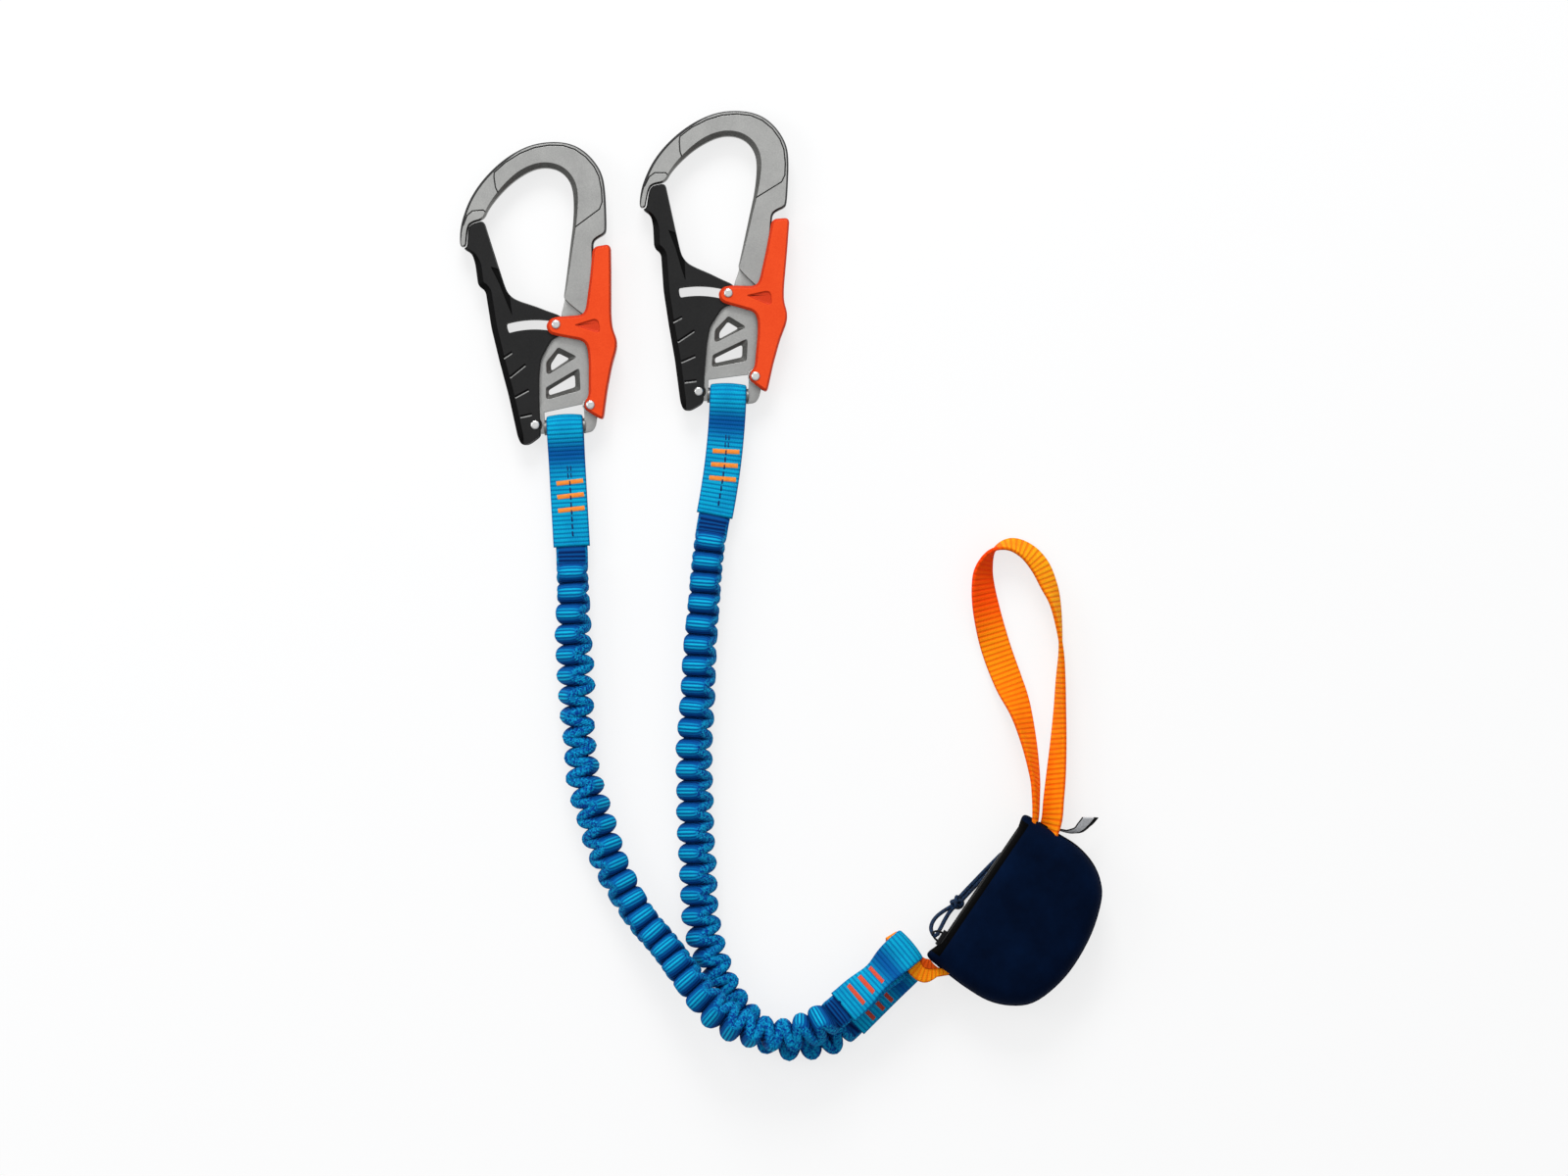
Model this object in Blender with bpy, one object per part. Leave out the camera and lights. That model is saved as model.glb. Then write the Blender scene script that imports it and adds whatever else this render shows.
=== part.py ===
"""Via ferrata lanyard: two palm-lock carabiners on ruffled elastic arms, a zipped absorber pouch and a tie-in loop.

Metres, +Z up. The lanyard lies flat on its back, and the origin is the centre of the pouch's flat underside.
A carabiner is drawn in its own frame: the origin is the middle of its webbing bar, +X runs along the bar and +Y
towards the top of the hook. Outline points are shares of the hook's width and rise.
"""

import math

import bmesh
import bpy
from mathutils import Matrix, Vector

for old in list(bpy.data.objects):
    bpy.data.objects.remove(old, do_unlink=True)

# Webbing
web_width = 0.020
web_thickness = 0.0023
web_side_gap = 0.001
meeting_gap = 0.0003

# Carabiner: plan sizes
hook_rise = 0.1565
slot_half = web_width / 2 + web_side_gap
slot_half_share = 0.1325
hook_width = slot_half / slot_half_share
bar_radius = 0.0042
bar_gap = 0.0005
slot_clearance = 0.0015
slot_slope_share = 0.16

# Carabiner: layers from the middle plane outwards
plate_thickness = 0.006
running_gap = 0.0004
gate_wall = 0.002
lever_wall = 0.002
plate_half = plate_thickness / 2
gate_inner = plate_half + running_gap
gate_outer = gate_inner + gate_wall
lever_inner = gate_outer + running_gap
lever_outer = lever_inner + lever_wall
hook_chamfer = 0.0018
edge_chamfer = 0.0006

# Carabiner: rivets, springs and travel
rivet_radius = 0.0016
pin_radius = 0.0014
head_radius = 0.0024
head_height = 0.0005
hole_gap = 0.00035
boss_wall = 0.0012
wire_radius = 0.0004
spring_gap = 0.0006
spring_turns = 2.25
lug_radius = 0.0056
gate_swing = math.radians(21)
lever_press = math.radians(4)
carabiner_height = lever_outer + meeting_gap + head_height

# One overrun serves every cut
overrun = 0.003

gate_pivot_shares = (-0.195, 0.011)
lock_pin_shares = (-0.019, 0.3585)
lever_pivot_shares = (0.178, 0.070)

hook_shares = [
    (-0.622, 0.649), (-0.625, 0.674), (-0.616, 0.716), (-0.590, 0.760), (-0.547, 0.811), (-0.482, 0.861),
    (-0.395, 0.909), (-0.301, 0.948), (-0.199, 0.978), (-0.101, 0.995), (0.000, 1.000), (0.096, 0.996),
    (0.181, 0.980), (0.253, 0.950), (0.308, 0.912), (0.342, 0.872), (0.352, 0.820), (0.352, 0.764),
    (0.348, 0.681), (0.335, 0.666), (0.283, 0.653), (0.259, 0.642), (0.252, 0.624), (0.249, 0.511),
    (0.247, 0.422), (0.120, 0.430), (0.040, 0.452), (0.047, 0.468), (0.076, 0.550), (0.108, 0.645), (0.130, 0.707),
    (0.142, 0.771), (0.141, 0.822), (0.123, 0.858), (0.082, 0.888), (0.024, 0.906), (-0.051, 0.912),
    (-0.127, 0.904), (-0.204, 0.884), (-0.281, 0.856), (-0.360, 0.817), (-0.424, 0.777), (-0.458, 0.741),
    (-0.547, 0.732), (-0.569, 0.712), (-0.581, 0.677), (-0.587, 0.651),
]
frame_left_shares = [
    (0.053, 0.460), (0.036, 0.422), (0.020, 0.399), (0.013, 0.367), (0.011, 0.342), (-0.043, 0.328),
    (-0.102, 0.291), (-0.161, 0.233), (-0.164, 0.064),
]
frame_right_shares = [
    (0.167, -0.027), (0.200, -0.010), (0.214, 0.017), (0.225, 0.064), (0.233, 0.141), (0.243, 0.256),
    (0.245, 0.409), (0.237, 0.460),
]
upper_window_shares = [
    (-0.014, 0.283), (0.104, 0.247), (0.108, 0.240), (-0.092, 0.183), (-0.107, 0.189), (-0.105, 0.230),
]
lower_window_shares = [
    (0.113, 0.204), (0.124, 0.199), (0.123, 0.125), (0.111, 0.120), (-0.104, 0.095), (-0.117, 0.101),
    (-0.114, 0.142),
]
gate_right_shares = [
    (-0.459, 0.737), (-0.422, 0.660), (-0.384, 0.580), (-0.348, 0.507), (-0.330, 0.481), (-0.295, 0.460),
    (-0.249, 0.447), (-0.147, 0.426), (-0.059, 0.405), (0.007, 0.391), (0.029, 0.374), (0.024, 0.335),
    (0.004, 0.319), (-0.054, 0.307), (-0.131, 0.242), (-0.149, 0.184), (-0.159, 0.089), (-0.160, 0.013),
    (-0.167, -0.029), (-0.186, -0.047), (-0.217, -0.055), (-0.257, -0.056), (-0.294, -0.049),
]
gate_back_shares = [
    (-0.314, -0.028), (-0.359, 0.119), (-0.406, 0.239), (-0.448, 0.360), (-0.473, 0.491), (-0.519, 0.509),
    (-0.531, 0.588), (-0.549, 0.624),
]
gate_tip_shares = [(-0.605, 0.643), (-0.578, 0.648), (-0.573, 0.677), (-0.563, 0.712), (-0.542, 0.727)]
lever_back_shares = [
    (0.369, 0.629), (0.361, 0.526), (0.346, 0.384), (0.349, 0.336), (0.375, 0.295), (0.372, 0.264),
    (0.331, 0.201), (0.292, 0.116), (0.257, 0.017),
]
lever_front_shares = [
    (0.224, 0.024), (0.149, 0.051), (0.137, 0.066), (0.146, 0.086), (0.170, 0.102), (0.183, 0.214),
    (0.181, 0.270), (0.154, 0.296), (-0.023, 0.319), (-0.067, 0.328), (-0.087, 0.353), (-0.063, 0.376),
    (-0.017, 0.385), (0.155, 0.386), (0.183, 0.404), (0.222, 0.514), (0.253, 0.622),
]
lever_recess_shares = [(0.112, 0.362), (0.248, 0.360), (0.259, 0.325), (0.243, 0.323)]
recess_depth = 0.0006

# Where the carabiners lie, and how far their hooks lean to the left
left_bar_place = (-0.2526, 0.2695)
left_bar_lean = math.radians(3.2)
right_bar_place = (-0.1630, 0.2865)
right_bar_lean = math.radians(-1.8)

# Sewn eyes at both ends of an arm
eye_hole_radius = bar_radius + bar_gap
eye_outer_radius = eye_hole_radius + web_thickness
strap_half = web_thickness
eye_throat = 0.015
eye_shoulder = 0.021
bar_eye_length = 0.066
pouch_eye_length = 0.045
left_bar_eye_drift = 0.0
right_bar_eye_drift = -0.0054
upper_eye_place = (-0.0657, -0.0193, 0.0237)
upper_eye_heading = math.radians(39.8)
upper_eye_pitch = math.radians(5.3)
lower_eye_place = (-0.0636, -0.0253, carabiner_height)
lower_eye_heading = math.radians(45)
lower_eye_pitch = 0.0

# Ruffled arms
strand_thickness = 0.0044
fold_pitch = 0.0124
fold_depth = 0.0184
fold_width = 0.017
crest_width = 0.014
arm_stub = 0.004
arm_lead = 0.004
bend_steps = 3

# Each route point is x, y, z and the turn of the folds about the arm in degrees
left_arm_route = [
    (-0.2485, 0.1880, 0.0095, 4), (-0.2480, 0.1769, 0.0104, 12), (-0.2479, 0.1595, 0.0112, 28),
    (-0.2473, 0.1419, 0.0117, 45), (-0.2462, 0.1244, 0.0115, 62), (-0.2456, 0.1078, 0.0106, 80),
    (-0.2441, 0.0891, 0.0098, 95), (-0.2411, 0.0729, 0.0108, 110), (-0.2375, 0.0598, 0.0115, 122),
    (-0.2322, 0.0427, 0.0117, 135), (-0.2266, 0.0276, 0.0117, 147), (-0.2187, 0.0124, 0.0120, 158),
    (-0.2097, -0.0014, 0.0140, 168), (-0.1971, -0.0157, 0.0190, 178), (-0.1852, -0.0313, 0.0258, 190),
    (-0.1740, -0.0448, 0.0302, 205), (-0.1615, -0.0556, 0.0315, 228), (-0.1459, -0.0615, 0.0300, 252),
    (-0.1318, -0.0626, 0.0285, 270), (-0.1190, -0.0600, 0.0300, 300), (-0.1090, -0.0547, 0.0305, 335),
]
right_arm_route = [
    (-0.1720, 0.2120, 0.0094, 0), (-0.1733, 0.2040, 0.0098, 3), (-0.1750, 0.1890, 0.0102, 7),
    (-0.1763, 0.1720, 0.0105, 11), (-0.1777, 0.1576, 0.0108, 15), (-0.1787, 0.1431, 0.0111, 19),
    (-0.1793, 0.1269, 0.0113, 22), (-0.1805, 0.1107, 0.0115, 26), (-0.1814, 0.0945, 0.0117, 30),
    (-0.1815, 0.0764, 0.0118, 33), (-0.1811, 0.0578, 0.0118, 36), (-0.1803, 0.0405, 0.0118, 38),
    (-0.1793, 0.0189, 0.0118, 41), (-0.1777, -0.0011, 0.0118, 47), (-0.1748, -0.0153, 0.0115, 58),
    (-0.1696, -0.0292, 0.0106, 72), (-0.1620, -0.0437, 0.0094, 85), (-0.1517, -0.0572, 0.0089, 90),
    (-0.1399, -0.0664, 0.0089, 90), (-0.1280, -0.0697, 0.0089, 90), (-0.1150, -0.0688, 0.0090, 96),
    (-0.1043, -0.0640, 0.0100, 120),
]

# Pouch: padded fabric case, its absorber and its zip
zip_length = 0.0952
pouch_depth = 0.0675
pouch_height = 0.036
fabric_wall = 0.0025
pouch_turn = math.radians(55.8)
pouch_outline_shares = [
    (0.500, 0.456), (0.250, 0.456), (0.000, 0.456), (-0.250, 0.456), (-0.492, 0.456), (-0.512, 0.400),
    (-0.520, 0.281), (-0.526, 0.086), (-0.516, -0.124), (-0.467, -0.300), (-0.382, -0.437), (-0.236, -0.516),
    (-0.066, -0.544), (0.142, -0.516), (0.327, -0.434), (0.417, -0.344), (0.483, -0.204), (0.516, -0.017),
    (0.512, 0.182), (0.508, 0.323),
]
pouch_profile_shares = [
    (0.000, 0.80), (0.050, 0.89), (0.170, 0.965), (0.380, 1.000), (0.620, 1.000), (0.780, 0.960),
    (0.900, 0.87), (0.970, 0.70), (1.000, 0.40),
]
pack_layers = 5
fold_steps = 4
pack_layer = 0.0034
pack_layer_gap = 0.0006
pack_length = 0.076
pack_width = 0.036
pack_across_share = 0.06
zip_edge_share = 0.456
zip_run_share = 0.90
zip_tape_width = 0.0074
zip_tape_thickness = 0.0024
teeth_width = 0.0030
teeth_rise = 0.0010
slider_length = 0.009
slider_width = 0.0072
slider_wall = 0.0011
slider_start_share = -0.365
bail_rise = 0.0042
bail_wire_radius = 0.0006
bail_span = 0.0052
pull_cord_radius = 0.0011
knot_radius = 0.0033
knot_length = 0.008

# The pull cord hangs from the slider to the floor and lies along the pouch
pull_cord_route = [
    (-0.04877, -0.00887, 0.0206), (-0.04877, -0.00887, 0.0175), (-0.0492, -0.0080, 0.0140),
    (-0.0490, -0.0055, 0.0100), (-0.0468, -0.0018, 0.0062), (-0.0430, 0.0024, 0.0042), (-0.0375, 0.0073, 0.0038),
    (-0.0330, 0.0120, 0.0026), (-0.0280, 0.0172, 0.0014), (-0.0200, 0.0255, 0.0013), (-0.0124, 0.0332, 0.0013),
]
knot_place_share = 0.47

# The link loop leaves the pouch's lower corner, threads both pouch eyes and goes back in
link_half_width = 0.0036
link_half_thickness = 0.0014
link_slit_gap = 0.0006
oval_sides = 8
link_route = [
    (-0.0376, -0.0233, 0.0198), (-0.0412, -0.0288, 0.0198), (-0.0465, -0.0313, 0.0200),
    (-0.0530, -0.0305, 0.0214), (-0.0588, -0.0265, 0.0235), (-0.0651, -0.0188, 0.0238),
    (-0.0716, -0.0110, 0.0235), (-0.0757, -0.0080, 0.0160), (-0.0731, -0.0147, 0.0090),
    (-0.0631, -0.0248, 0.0087), (-0.0557, -0.0322, 0.0090), (-0.0500, -0.0340, 0.0135),
    (-0.0445, -0.0315, 0.0162), (-0.0412, -0.0288, 0.0162), (-0.0376, -0.0233, 0.0162),
]

# The tie-in loop: x, y, z and the lean of the ribbon, 0 on edge and 90 flat with its inner face up
loop_width = 0.0165
loop_thickness = 0.0022
loop_slit_gap = 0.0007
loop_steps = 2
slit_rings = 5
tie_in_route = [
    (0.0042, 0.0460, 0.0180, 6), (0.0055, 0.0554, 0.0180, 9), (0.0057, 0.0670, 0.0165, 12),
    (0.0051, 0.0782, 0.0138, 17), (0.0022, 0.0957, 0.0100, 29), (-0.0024, 0.1133, 0.0074, 46),
    (-0.0095, 0.1309, 0.0034, 78), (-0.0158, 0.1484, 0.0022, 85), (-0.0204, 0.1660, 0.0046, 68),
    (-0.0228, 0.1809, 0.0066, 50), (-0.0224, 0.1917, 0.0076, 34), (-0.0178, 0.2011, 0.0085, 6),
    (-0.0086, 0.2047, 0.0084, -20), (0.0005, 0.2014, 0.0078, -32), (0.0081, 0.1933, 0.0074, -38),
    (0.0132, 0.1825, 0.0078, -33), (0.0167, 0.1723, 0.0085, -19), (0.0189, 0.1590, 0.0086, -8),
    (0.0200, 0.1453, 0.0086, 1), (0.0197, 0.1309, 0.0087, 10), (0.0192, 0.1134, 0.0089, 17),
    (0.0183, 0.0957, 0.0102, 26), (0.0169, 0.0783, 0.0128, 34), (0.0155, 0.0648, 0.0155, 37),
    (0.0143, 0.0535, 0.0175, 37), (0.0108, 0.0419, 0.0180, 34),
]

# Side tag: a bare fabric tag on edge at the pouch's seam
tag_height = 0.013
tag_thickness = 0.0010
tag_route = [
    (0.0192, 0.0477, 0.0160, 8), (0.0252, 0.0472, 0.0160, 10), (0.0306, 0.0484, 0.0160, 16),
    (0.0350, 0.0512, 0.0160, 22), (0.0396, 0.0550, 0.0160, 24),
]


def material(name, colour, roughness, metallic=0.0):
    made = bpy.data.materials.new(name)
    made.use_nodes = True
    shader = made.node_tree.nodes["Principled BSDF"]
    shader.inputs["Base Color"].default_value = (*colour, 1.0)
    shader.inputs["Roughness"].default_value = roughness
    shader.inputs["Metallic"].default_value = metallic
    return made


satin_aluminium = material("satin_aluminium", (0.42, 0.41, 0.40), 0.45, 0.9)
black_aluminium = material("black_aluminium", (0.025, 0.025, 0.027), 0.4, 0.5)
orange_lever = material("orange_lever", (0.85, 0.08, 0.012), 0.45)
rivet_steel = material("rivet_steel", (0.65, 0.65, 0.64), 0.3, 1.0)
spring_steel = material("spring_steel", (0.40, 0.40, 0.41), 0.35, 1.0)
blue_webbing = material("blue_webbing", (0.01, 0.22, 0.55), 0.8)
orange_webbing = material("orange_webbing", (0.9, 0.22, 0.01), 0.8)
navy_fabric = material("navy_fabric", (0.003, 0.008, 0.03), 0.85)
black_tape = material("black_tape", (0.01, 0.01, 0.01), 0.8)
slider_zinc = material("slider_zinc", (0.02, 0.02, 0.02), 0.4, 0.8)
grey_label = material("grey_label", (0.35, 0.35, 0.35), 0.85)


def piece(name, vertices, faces, finish=None, parent=None):
    """An object from vertices and faces, its faces turned outwards. With no finish it is a hidden cutter."""
    mesh = bpy.data.meshes.new(name)
    mesh.from_pydata([tuple(v) for v in vertices], [], faces)
    work = bmesh.new()
    work.from_mesh(mesh)
    bmesh.ops.recalc_face_normals(work, faces=work.faces)
    work.to_mesh(mesh)
    work.free()
    made = bpy.data.objects.new(name, mesh)
    bpy.context.collection.objects.link(made)
    if finish:
        mesh.materials.append(finish)
        mesh.shade_smooth()
        mesh.set_sharp_from_angle(angle=math.radians(35))
    else:
        made.hide_render = True
        made.display_type = "WIRE"
    made.parent = parent
    return made


def rings_to_faces(count, around):
    """Side and end faces of a closed solid made of rings with the same number of points."""
    faces = []
    for ring in range(count - 1):
        for i in range(around):
            j = (i + 1) % around
            low, high = ring * around, (ring + 1) * around
            faces.append((low + i, low + j, high + j, high + i))
    faces.append(tuple(reversed(range(around))))
    faces.append(tuple(range((count - 1) * around, count * around)))
    return faces


def lofted(name, rings, finish=None, parent=None):
    vertices = [point for ring in rings for point in ring]
    return piece(name, vertices, rings_to_faces(len(rings), len(rings[0])), finish, parent)


def inset(points, amount):
    """A flat outline moved inwards by an amount, measured square to its edges."""
    area = sum(a.x * b.y - b.x * a.y for a, b in zip(points, points[1:] + points[:1]))
    side = 1 if area > 0 else -1
    moved = []
    for i, point in enumerate(points):
        before = (point - points[i - 1]).normalized()
        after = (points[(i + 1) % len(points)] - point).normalized()
        normal = side * Vector((-(before.y + after.y), before.x + after.x))
        moved.append(point + normal * (2 * amount / normal.length_squared))
    return moved


def plate(name, points, low, high, chamfer=0.0, finish=None, parent=None, origin=(0, 0)):
    """A flat outline between two heights, with its edges chamfered where a chamfer is given."""
    middle = Vector(origin)
    levels = [(low, 0.0), (high, 0.0)]
    if chamfer:
        levels = [(low, chamfer), (low + chamfer, 0.0), (high - chamfer, 0.0), (high, chamfer)]
    rings = [[(p - middle).to_3d() + Vector((0, 0, z)) for p in inset(points, by)] for z, by in levels]
    return lofted(name, rings, finish, parent)


def circle(centre, radius, sides):
    """A regular outline whose flats, not its corners, lie at the radius."""
    reach = radius / math.cos(math.pi / sides)
    turns = [2 * math.pi * i / sides for i in range(sides)]
    return [Vector((centre[0] + reach * math.cos(t), centre[1] + reach * math.sin(t))) for t in turns]


def combine(target, other, operation):
    step = target.modifiers.new(other.name, "BOOLEAN")
    step.operation = operation
    step.solver = "EXACT"
    step.object = other


def hook_point(shares):
    return Vector((shares[0] * hook_width, shares[1] * hook_rise))


def hook_outline(shares):
    return [hook_point(s) for s in shares]


gate_pivot = hook_point(gate_pivot_shares)
lock_pin = hook_point(lock_pin_shares)
lever_pivot = hook_point(lever_pivot_shares)
round_sides = 14


def tube(name, path, radii, sides, finish, parent=None):
    """A round tube along a path, with a radius for each point."""
    rings = []
    side = None
    for i, point in enumerate(path):
        ahead = (path[min(i + 1, len(path) - 1)] - path[max(i - 1, 0)]).normalized()
        if side is None:
            side = ahead.orthogonal().normalized()
        side = (side - ahead * side.dot(ahead)).normalized()
        up = ahead.cross(side)
        turns = [2 * math.pi * k / sides for k in range(sides)]
        rings.append([point + (side * math.cos(t) + up * math.sin(t)) * radii[i] for t in turns])
    return lofted(name, rings, finish, parent)


def rivet(name, place, radius, half, parent, finish=rivet_steel):
    """A turned rivet: a shank through the stack and a low head on each face."""
    base = half + meeting_gap
    profile = [
        (-base - head_height, head_radius * 0.7), (-base - head_height * 0.5, head_radius), (-base, head_radius),
        (-base, radius), (base, radius), (base, head_radius), (base + head_height * 0.5, head_radius),
        (base + head_height, head_radius * 0.7),
    ]
    turns = [2 * math.pi * k / round_sides for k in range(round_sides)]
    rings = [[Vector((r * math.cos(t), r * math.sin(t), z)) for t in turns] for z, r in profile]
    made = lofted(name, rings, finish, parent)
    made.location = place.to_3d()
    return made


def coil_spring(name, place, core_radius, low, height, leg_reach, leg_turn, parent):
    """A torsion spring: close turns round a core, with one leg that reaches out to the piece it pushes."""
    mean = core_radius + spring_gap + wire_radius
    points_per_turn = 9
    count = int(spring_turns * points_per_turn)
    bottom = low + wire_radius + meeting_gap
    top = low + height - wire_radius - meeting_gap
    path = []
    for i in range(count + 1):
        turn = leg_turn - math.pi / 2 + 2 * math.pi * spring_turns * (i / count - 1)
        rise = bottom + (top - bottom) * i / count
        path.append(Vector((mean * math.cos(turn), mean * math.sin(turn), rise)))
    leg = Vector((math.cos(leg_turn), math.sin(leg_turn), 0))
    path.append(path[-1] + leg * leg_reach / 2)
    path.append(path[-2] + leg * leg_reach)
    made = tube(name, path, [wire_radius] * len(path), 5, spring_steel, parent)
    made.location = place.to_3d()
    return made


def carabiner_body(side, parent):
    """One forged piece: the thick hook, the thin frame that gate and lever straddle, and the round webbing bar."""
    body = plate(side + "_carabiner_body", hook_outline(hook_shares), -gate_outer, gate_outer, hook_chamfer,
                 satin_aluminium, parent)
    lug_turns = [math.radians(a) for a in range(100, 301, 25)]
    lug = [gate_pivot + lug_radius * Vector((math.cos(t), math.sin(t))) for t in lug_turns]
    outline = hook_outline(frame_left_shares) + lug + hook_outline(frame_right_shares)
    frame = plate(side + "_frame", outline, -plate_half, plate_half, 0.0, None, parent)
    for label, shares in (("upper", upper_window_shares), ("lower", lower_window_shares)):
        window = plate(side + "_window_" + label, hook_outline(shares), -plate_half - overrun,
                       plate_half + overrun, 0.0, None, parent)
        combine(frame, window, "DIFFERENCE")
    slot_top = eye_outer_radius + slot_clearance
    slope = slot_half * slot_slope_share
    slot_points = [
        Vector((-slot_half, -bar_radius - overrun)), Vector((slot_half, -bar_radius - overrun)),
        Vector((slot_half, slot_top + 2 * slope)), Vector((-slot_half, slot_top)),
    ]
    slot = plate(side + "_slot", slot_points, -plate_half - overrun, plate_half + overrun, 0.0, None, parent)
    combine(frame, slot, "DIFFERENCE")
    combine(body, frame, "UNION")
    end = slot_half + overrun / 2
    bar_sides = 16
    turns = [2 * math.pi * k / bar_sides for k in range(bar_sides)]
    bar_rings = [
        [Vector((x, bar_radius * math.cos(t), bar_radius * math.sin(t))) for t in turns] for x in (-end, end)
    ]
    combine(body, lofted(side + "_bar", bar_rings, None, parent), "UNION")
    boss = plate(side + "_boss", circle(lever_pivot, rivet_radius + hole_gap + boss_wall, round_sides),
                 -lever_inner + running_gap, lever_inner - running_gap, 0.0, None, parent)
    combine(body, boss, "UNION")
    for label, centre in (("gate", gate_pivot), ("lever", lever_pivot)):
        hole = plate(side + "_hole_" + label, circle(centre, rivet_radius + hole_gap, round_sides),
                     -lever_outer, lever_outer, 0.0, None, parent)
        combine(body, hole, "DIFFERENCE")
    pocket_radius = rivet_radius + hole_gap + 2 * (spring_gap + wire_radius)
    reach = Vector((lug_radius + overrun, 0))
    pocket = plate(side + "_pocket", circle(gate_pivot, pocket_radius, round_sides), -wire_radius,
                   plate_half + overrun, 0.0, None, parent)
    combine(body, pocket, "DIFFERENCE")
    low, high = -pocket_radius, pocket_radius
    channel_points = [gate_pivot + Vector((0, high)), gate_pivot - reach + Vector((0, high)),
                      gate_pivot - reach + Vector((0, low)), gate_pivot + Vector((0, low))]
    channel = plate(side + "_channel", channel_points, -wire_radius, plate_half + overrun, 0.0, None, parent)
    combine(body, channel, "DIFFERENCE")
    return body


def gate(side, parent):
    """A folded gate: two cheeks over the frame, joined by its back, solid at the tip, slotted for the lock pin."""
    outline = hook_outline(gate_right_shares) + hook_outline(gate_back_shares) + hook_outline(gate_tip_shares)
    made = plate(side + "_gate", outline, -gate_outer, gate_outer, edge_chamfer, black_aluminium, parent, gate_pivot)
    made.location = gate_pivot.to_3d()
    back = [p + Vector((gate_wall, 0)) for p in hook_outline(gate_back_shares)]
    far = slot_half + overrun
    room = back + [Vector((far, back[-1].y)), Vector((far, back[0].y - hook_width / 4)),
                   Vector((back[0].x, back[0].y - hook_width / 4))]
    combine(made, plate(side + "_gate_room", room, -gate_inner, gate_inner, 0.0, None, parent), "DIFFERENCE")
    rest = lock_pin - gate_pivot
    swing = lock_pin - lever_pivot
    pressed = lever_pivot + Matrix.Rotation(lever_press, 2) @ swing - gate_pivot
    margin = pin_radius + hole_gap
    inner, outer = pressed.length - margin, rest.length + margin
    first = math.atan2(rest.y, rest.x) - margin / rest.length
    last = math.atan2(pressed.y, pressed.x) + gate_swing + margin / pressed.length
    steps = 10
    turns = [first + (last - first) * i / steps for i in range(steps + 1)]
    arc = [gate_pivot + outer * Vector((math.cos(t), math.sin(t))) for t in turns]
    arc += [gate_pivot + inner * Vector((math.cos(t), math.sin(t))) for t in reversed(turns)]
    combine(made, plate(side + "_gate_slot", arc, -lever_outer, lever_outer, 0.0, None, parent), "DIFFERENCE")
    hole = circle(gate_pivot, rivet_radius + hole_gap, round_sides)
    combine(made, plate(side + "_gate_hole", hole, -lever_outer, lever_outer, 0.0, None, parent), "DIFFERENCE")
    return made


def lock_lever(side, parent):
    """A palm lever: a channel round the hook's back, with an arm on each face that carries the lock pin."""
    back = hook_outline(lever_back_shares)
    outline = back + hook_outline(lever_front_shares)
    made = plate(side + "_lock_lever", outline, -lever_outer, lever_outer, edge_chamfer, orange_lever, parent,
                 lever_pivot)
    made.location = lever_pivot.to_3d()
    room = [p - Vector((lever_wall, 0)) for p in back]
    far = hook_width / 3
    room = [room[0] + Vector((0, overrun))] + room + [room[-1] - Vector((0, overrun))]
    room += [Vector((-far, room[-1].y)), Vector((-far, room[0].y))]
    combine(made, plate(side + "_lever_room", room, -lever_inner, lever_inner, 0.0, None, parent), "DIFFERENCE")
    for label, centre, radius in (("pivot", lever_pivot, rivet_radius), ("pin", lock_pin, pin_radius)):
        hole = circle(centre, radius + hole_gap, round_sides)
        cutter = plate(side + "_lever_hole_" + label, hole, -lever_outer - overrun, lever_outer + overrun, 0.0,
                       None, parent)
        combine(made, cutter, "DIFFERENCE")
    recess = plate(side + "_lever_recess", hook_outline(lever_recess_shares), lever_outer - recess_depth,
                   lever_outer + overrun, 0.0, None, parent)
    combine(made, recess, "DIFFERENCE")
    return made


def carabiner(side, place, lean):
    frame = bpy.data.objects.new(side + "_carabiner_frame", None)
    bpy.context.collection.objects.link(frame)
    frame.location = (place[0], place[1], carabiner_height)
    frame.rotation_euler = (0, 0, lean)
    carabiner_body(side, frame)
    gate(side, frame)
    lock_lever(side, frame)
    rivet(side + "_gate_rivet", gate_pivot, rivet_radius, gate_outer, frame)
    rivet(side + "_lever_rivet", lever_pivot, rivet_radius, lever_outer, frame)
    rivet(side + "_lock_pin", lock_pin, pin_radius, lever_outer, frame)
    coil_spring(side + "_gate_spring", gate_pivot, rivet_radius, -wire_radius, plate_half, lug_radius, math.pi, frame)
    boss_radius = rivet_radius + hole_gap + boss_wall
    coil_spring(side + "_lever_spring", lever_pivot, boss_radius, plate_half, lever_inner - plate_half,
                wire_radius * 4, 0.0, frame)


def strap_line(y, length, drift):
    """The middle of a sewn eye's strap at a distance below its bar, and the direction across it there."""
    below = min(y, 0)
    across = Vector((1, -2 * drift * below / length ** 2, 0)).normalized()
    return Vector((drift * (below / length) ** 2, y, 0)), across


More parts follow.
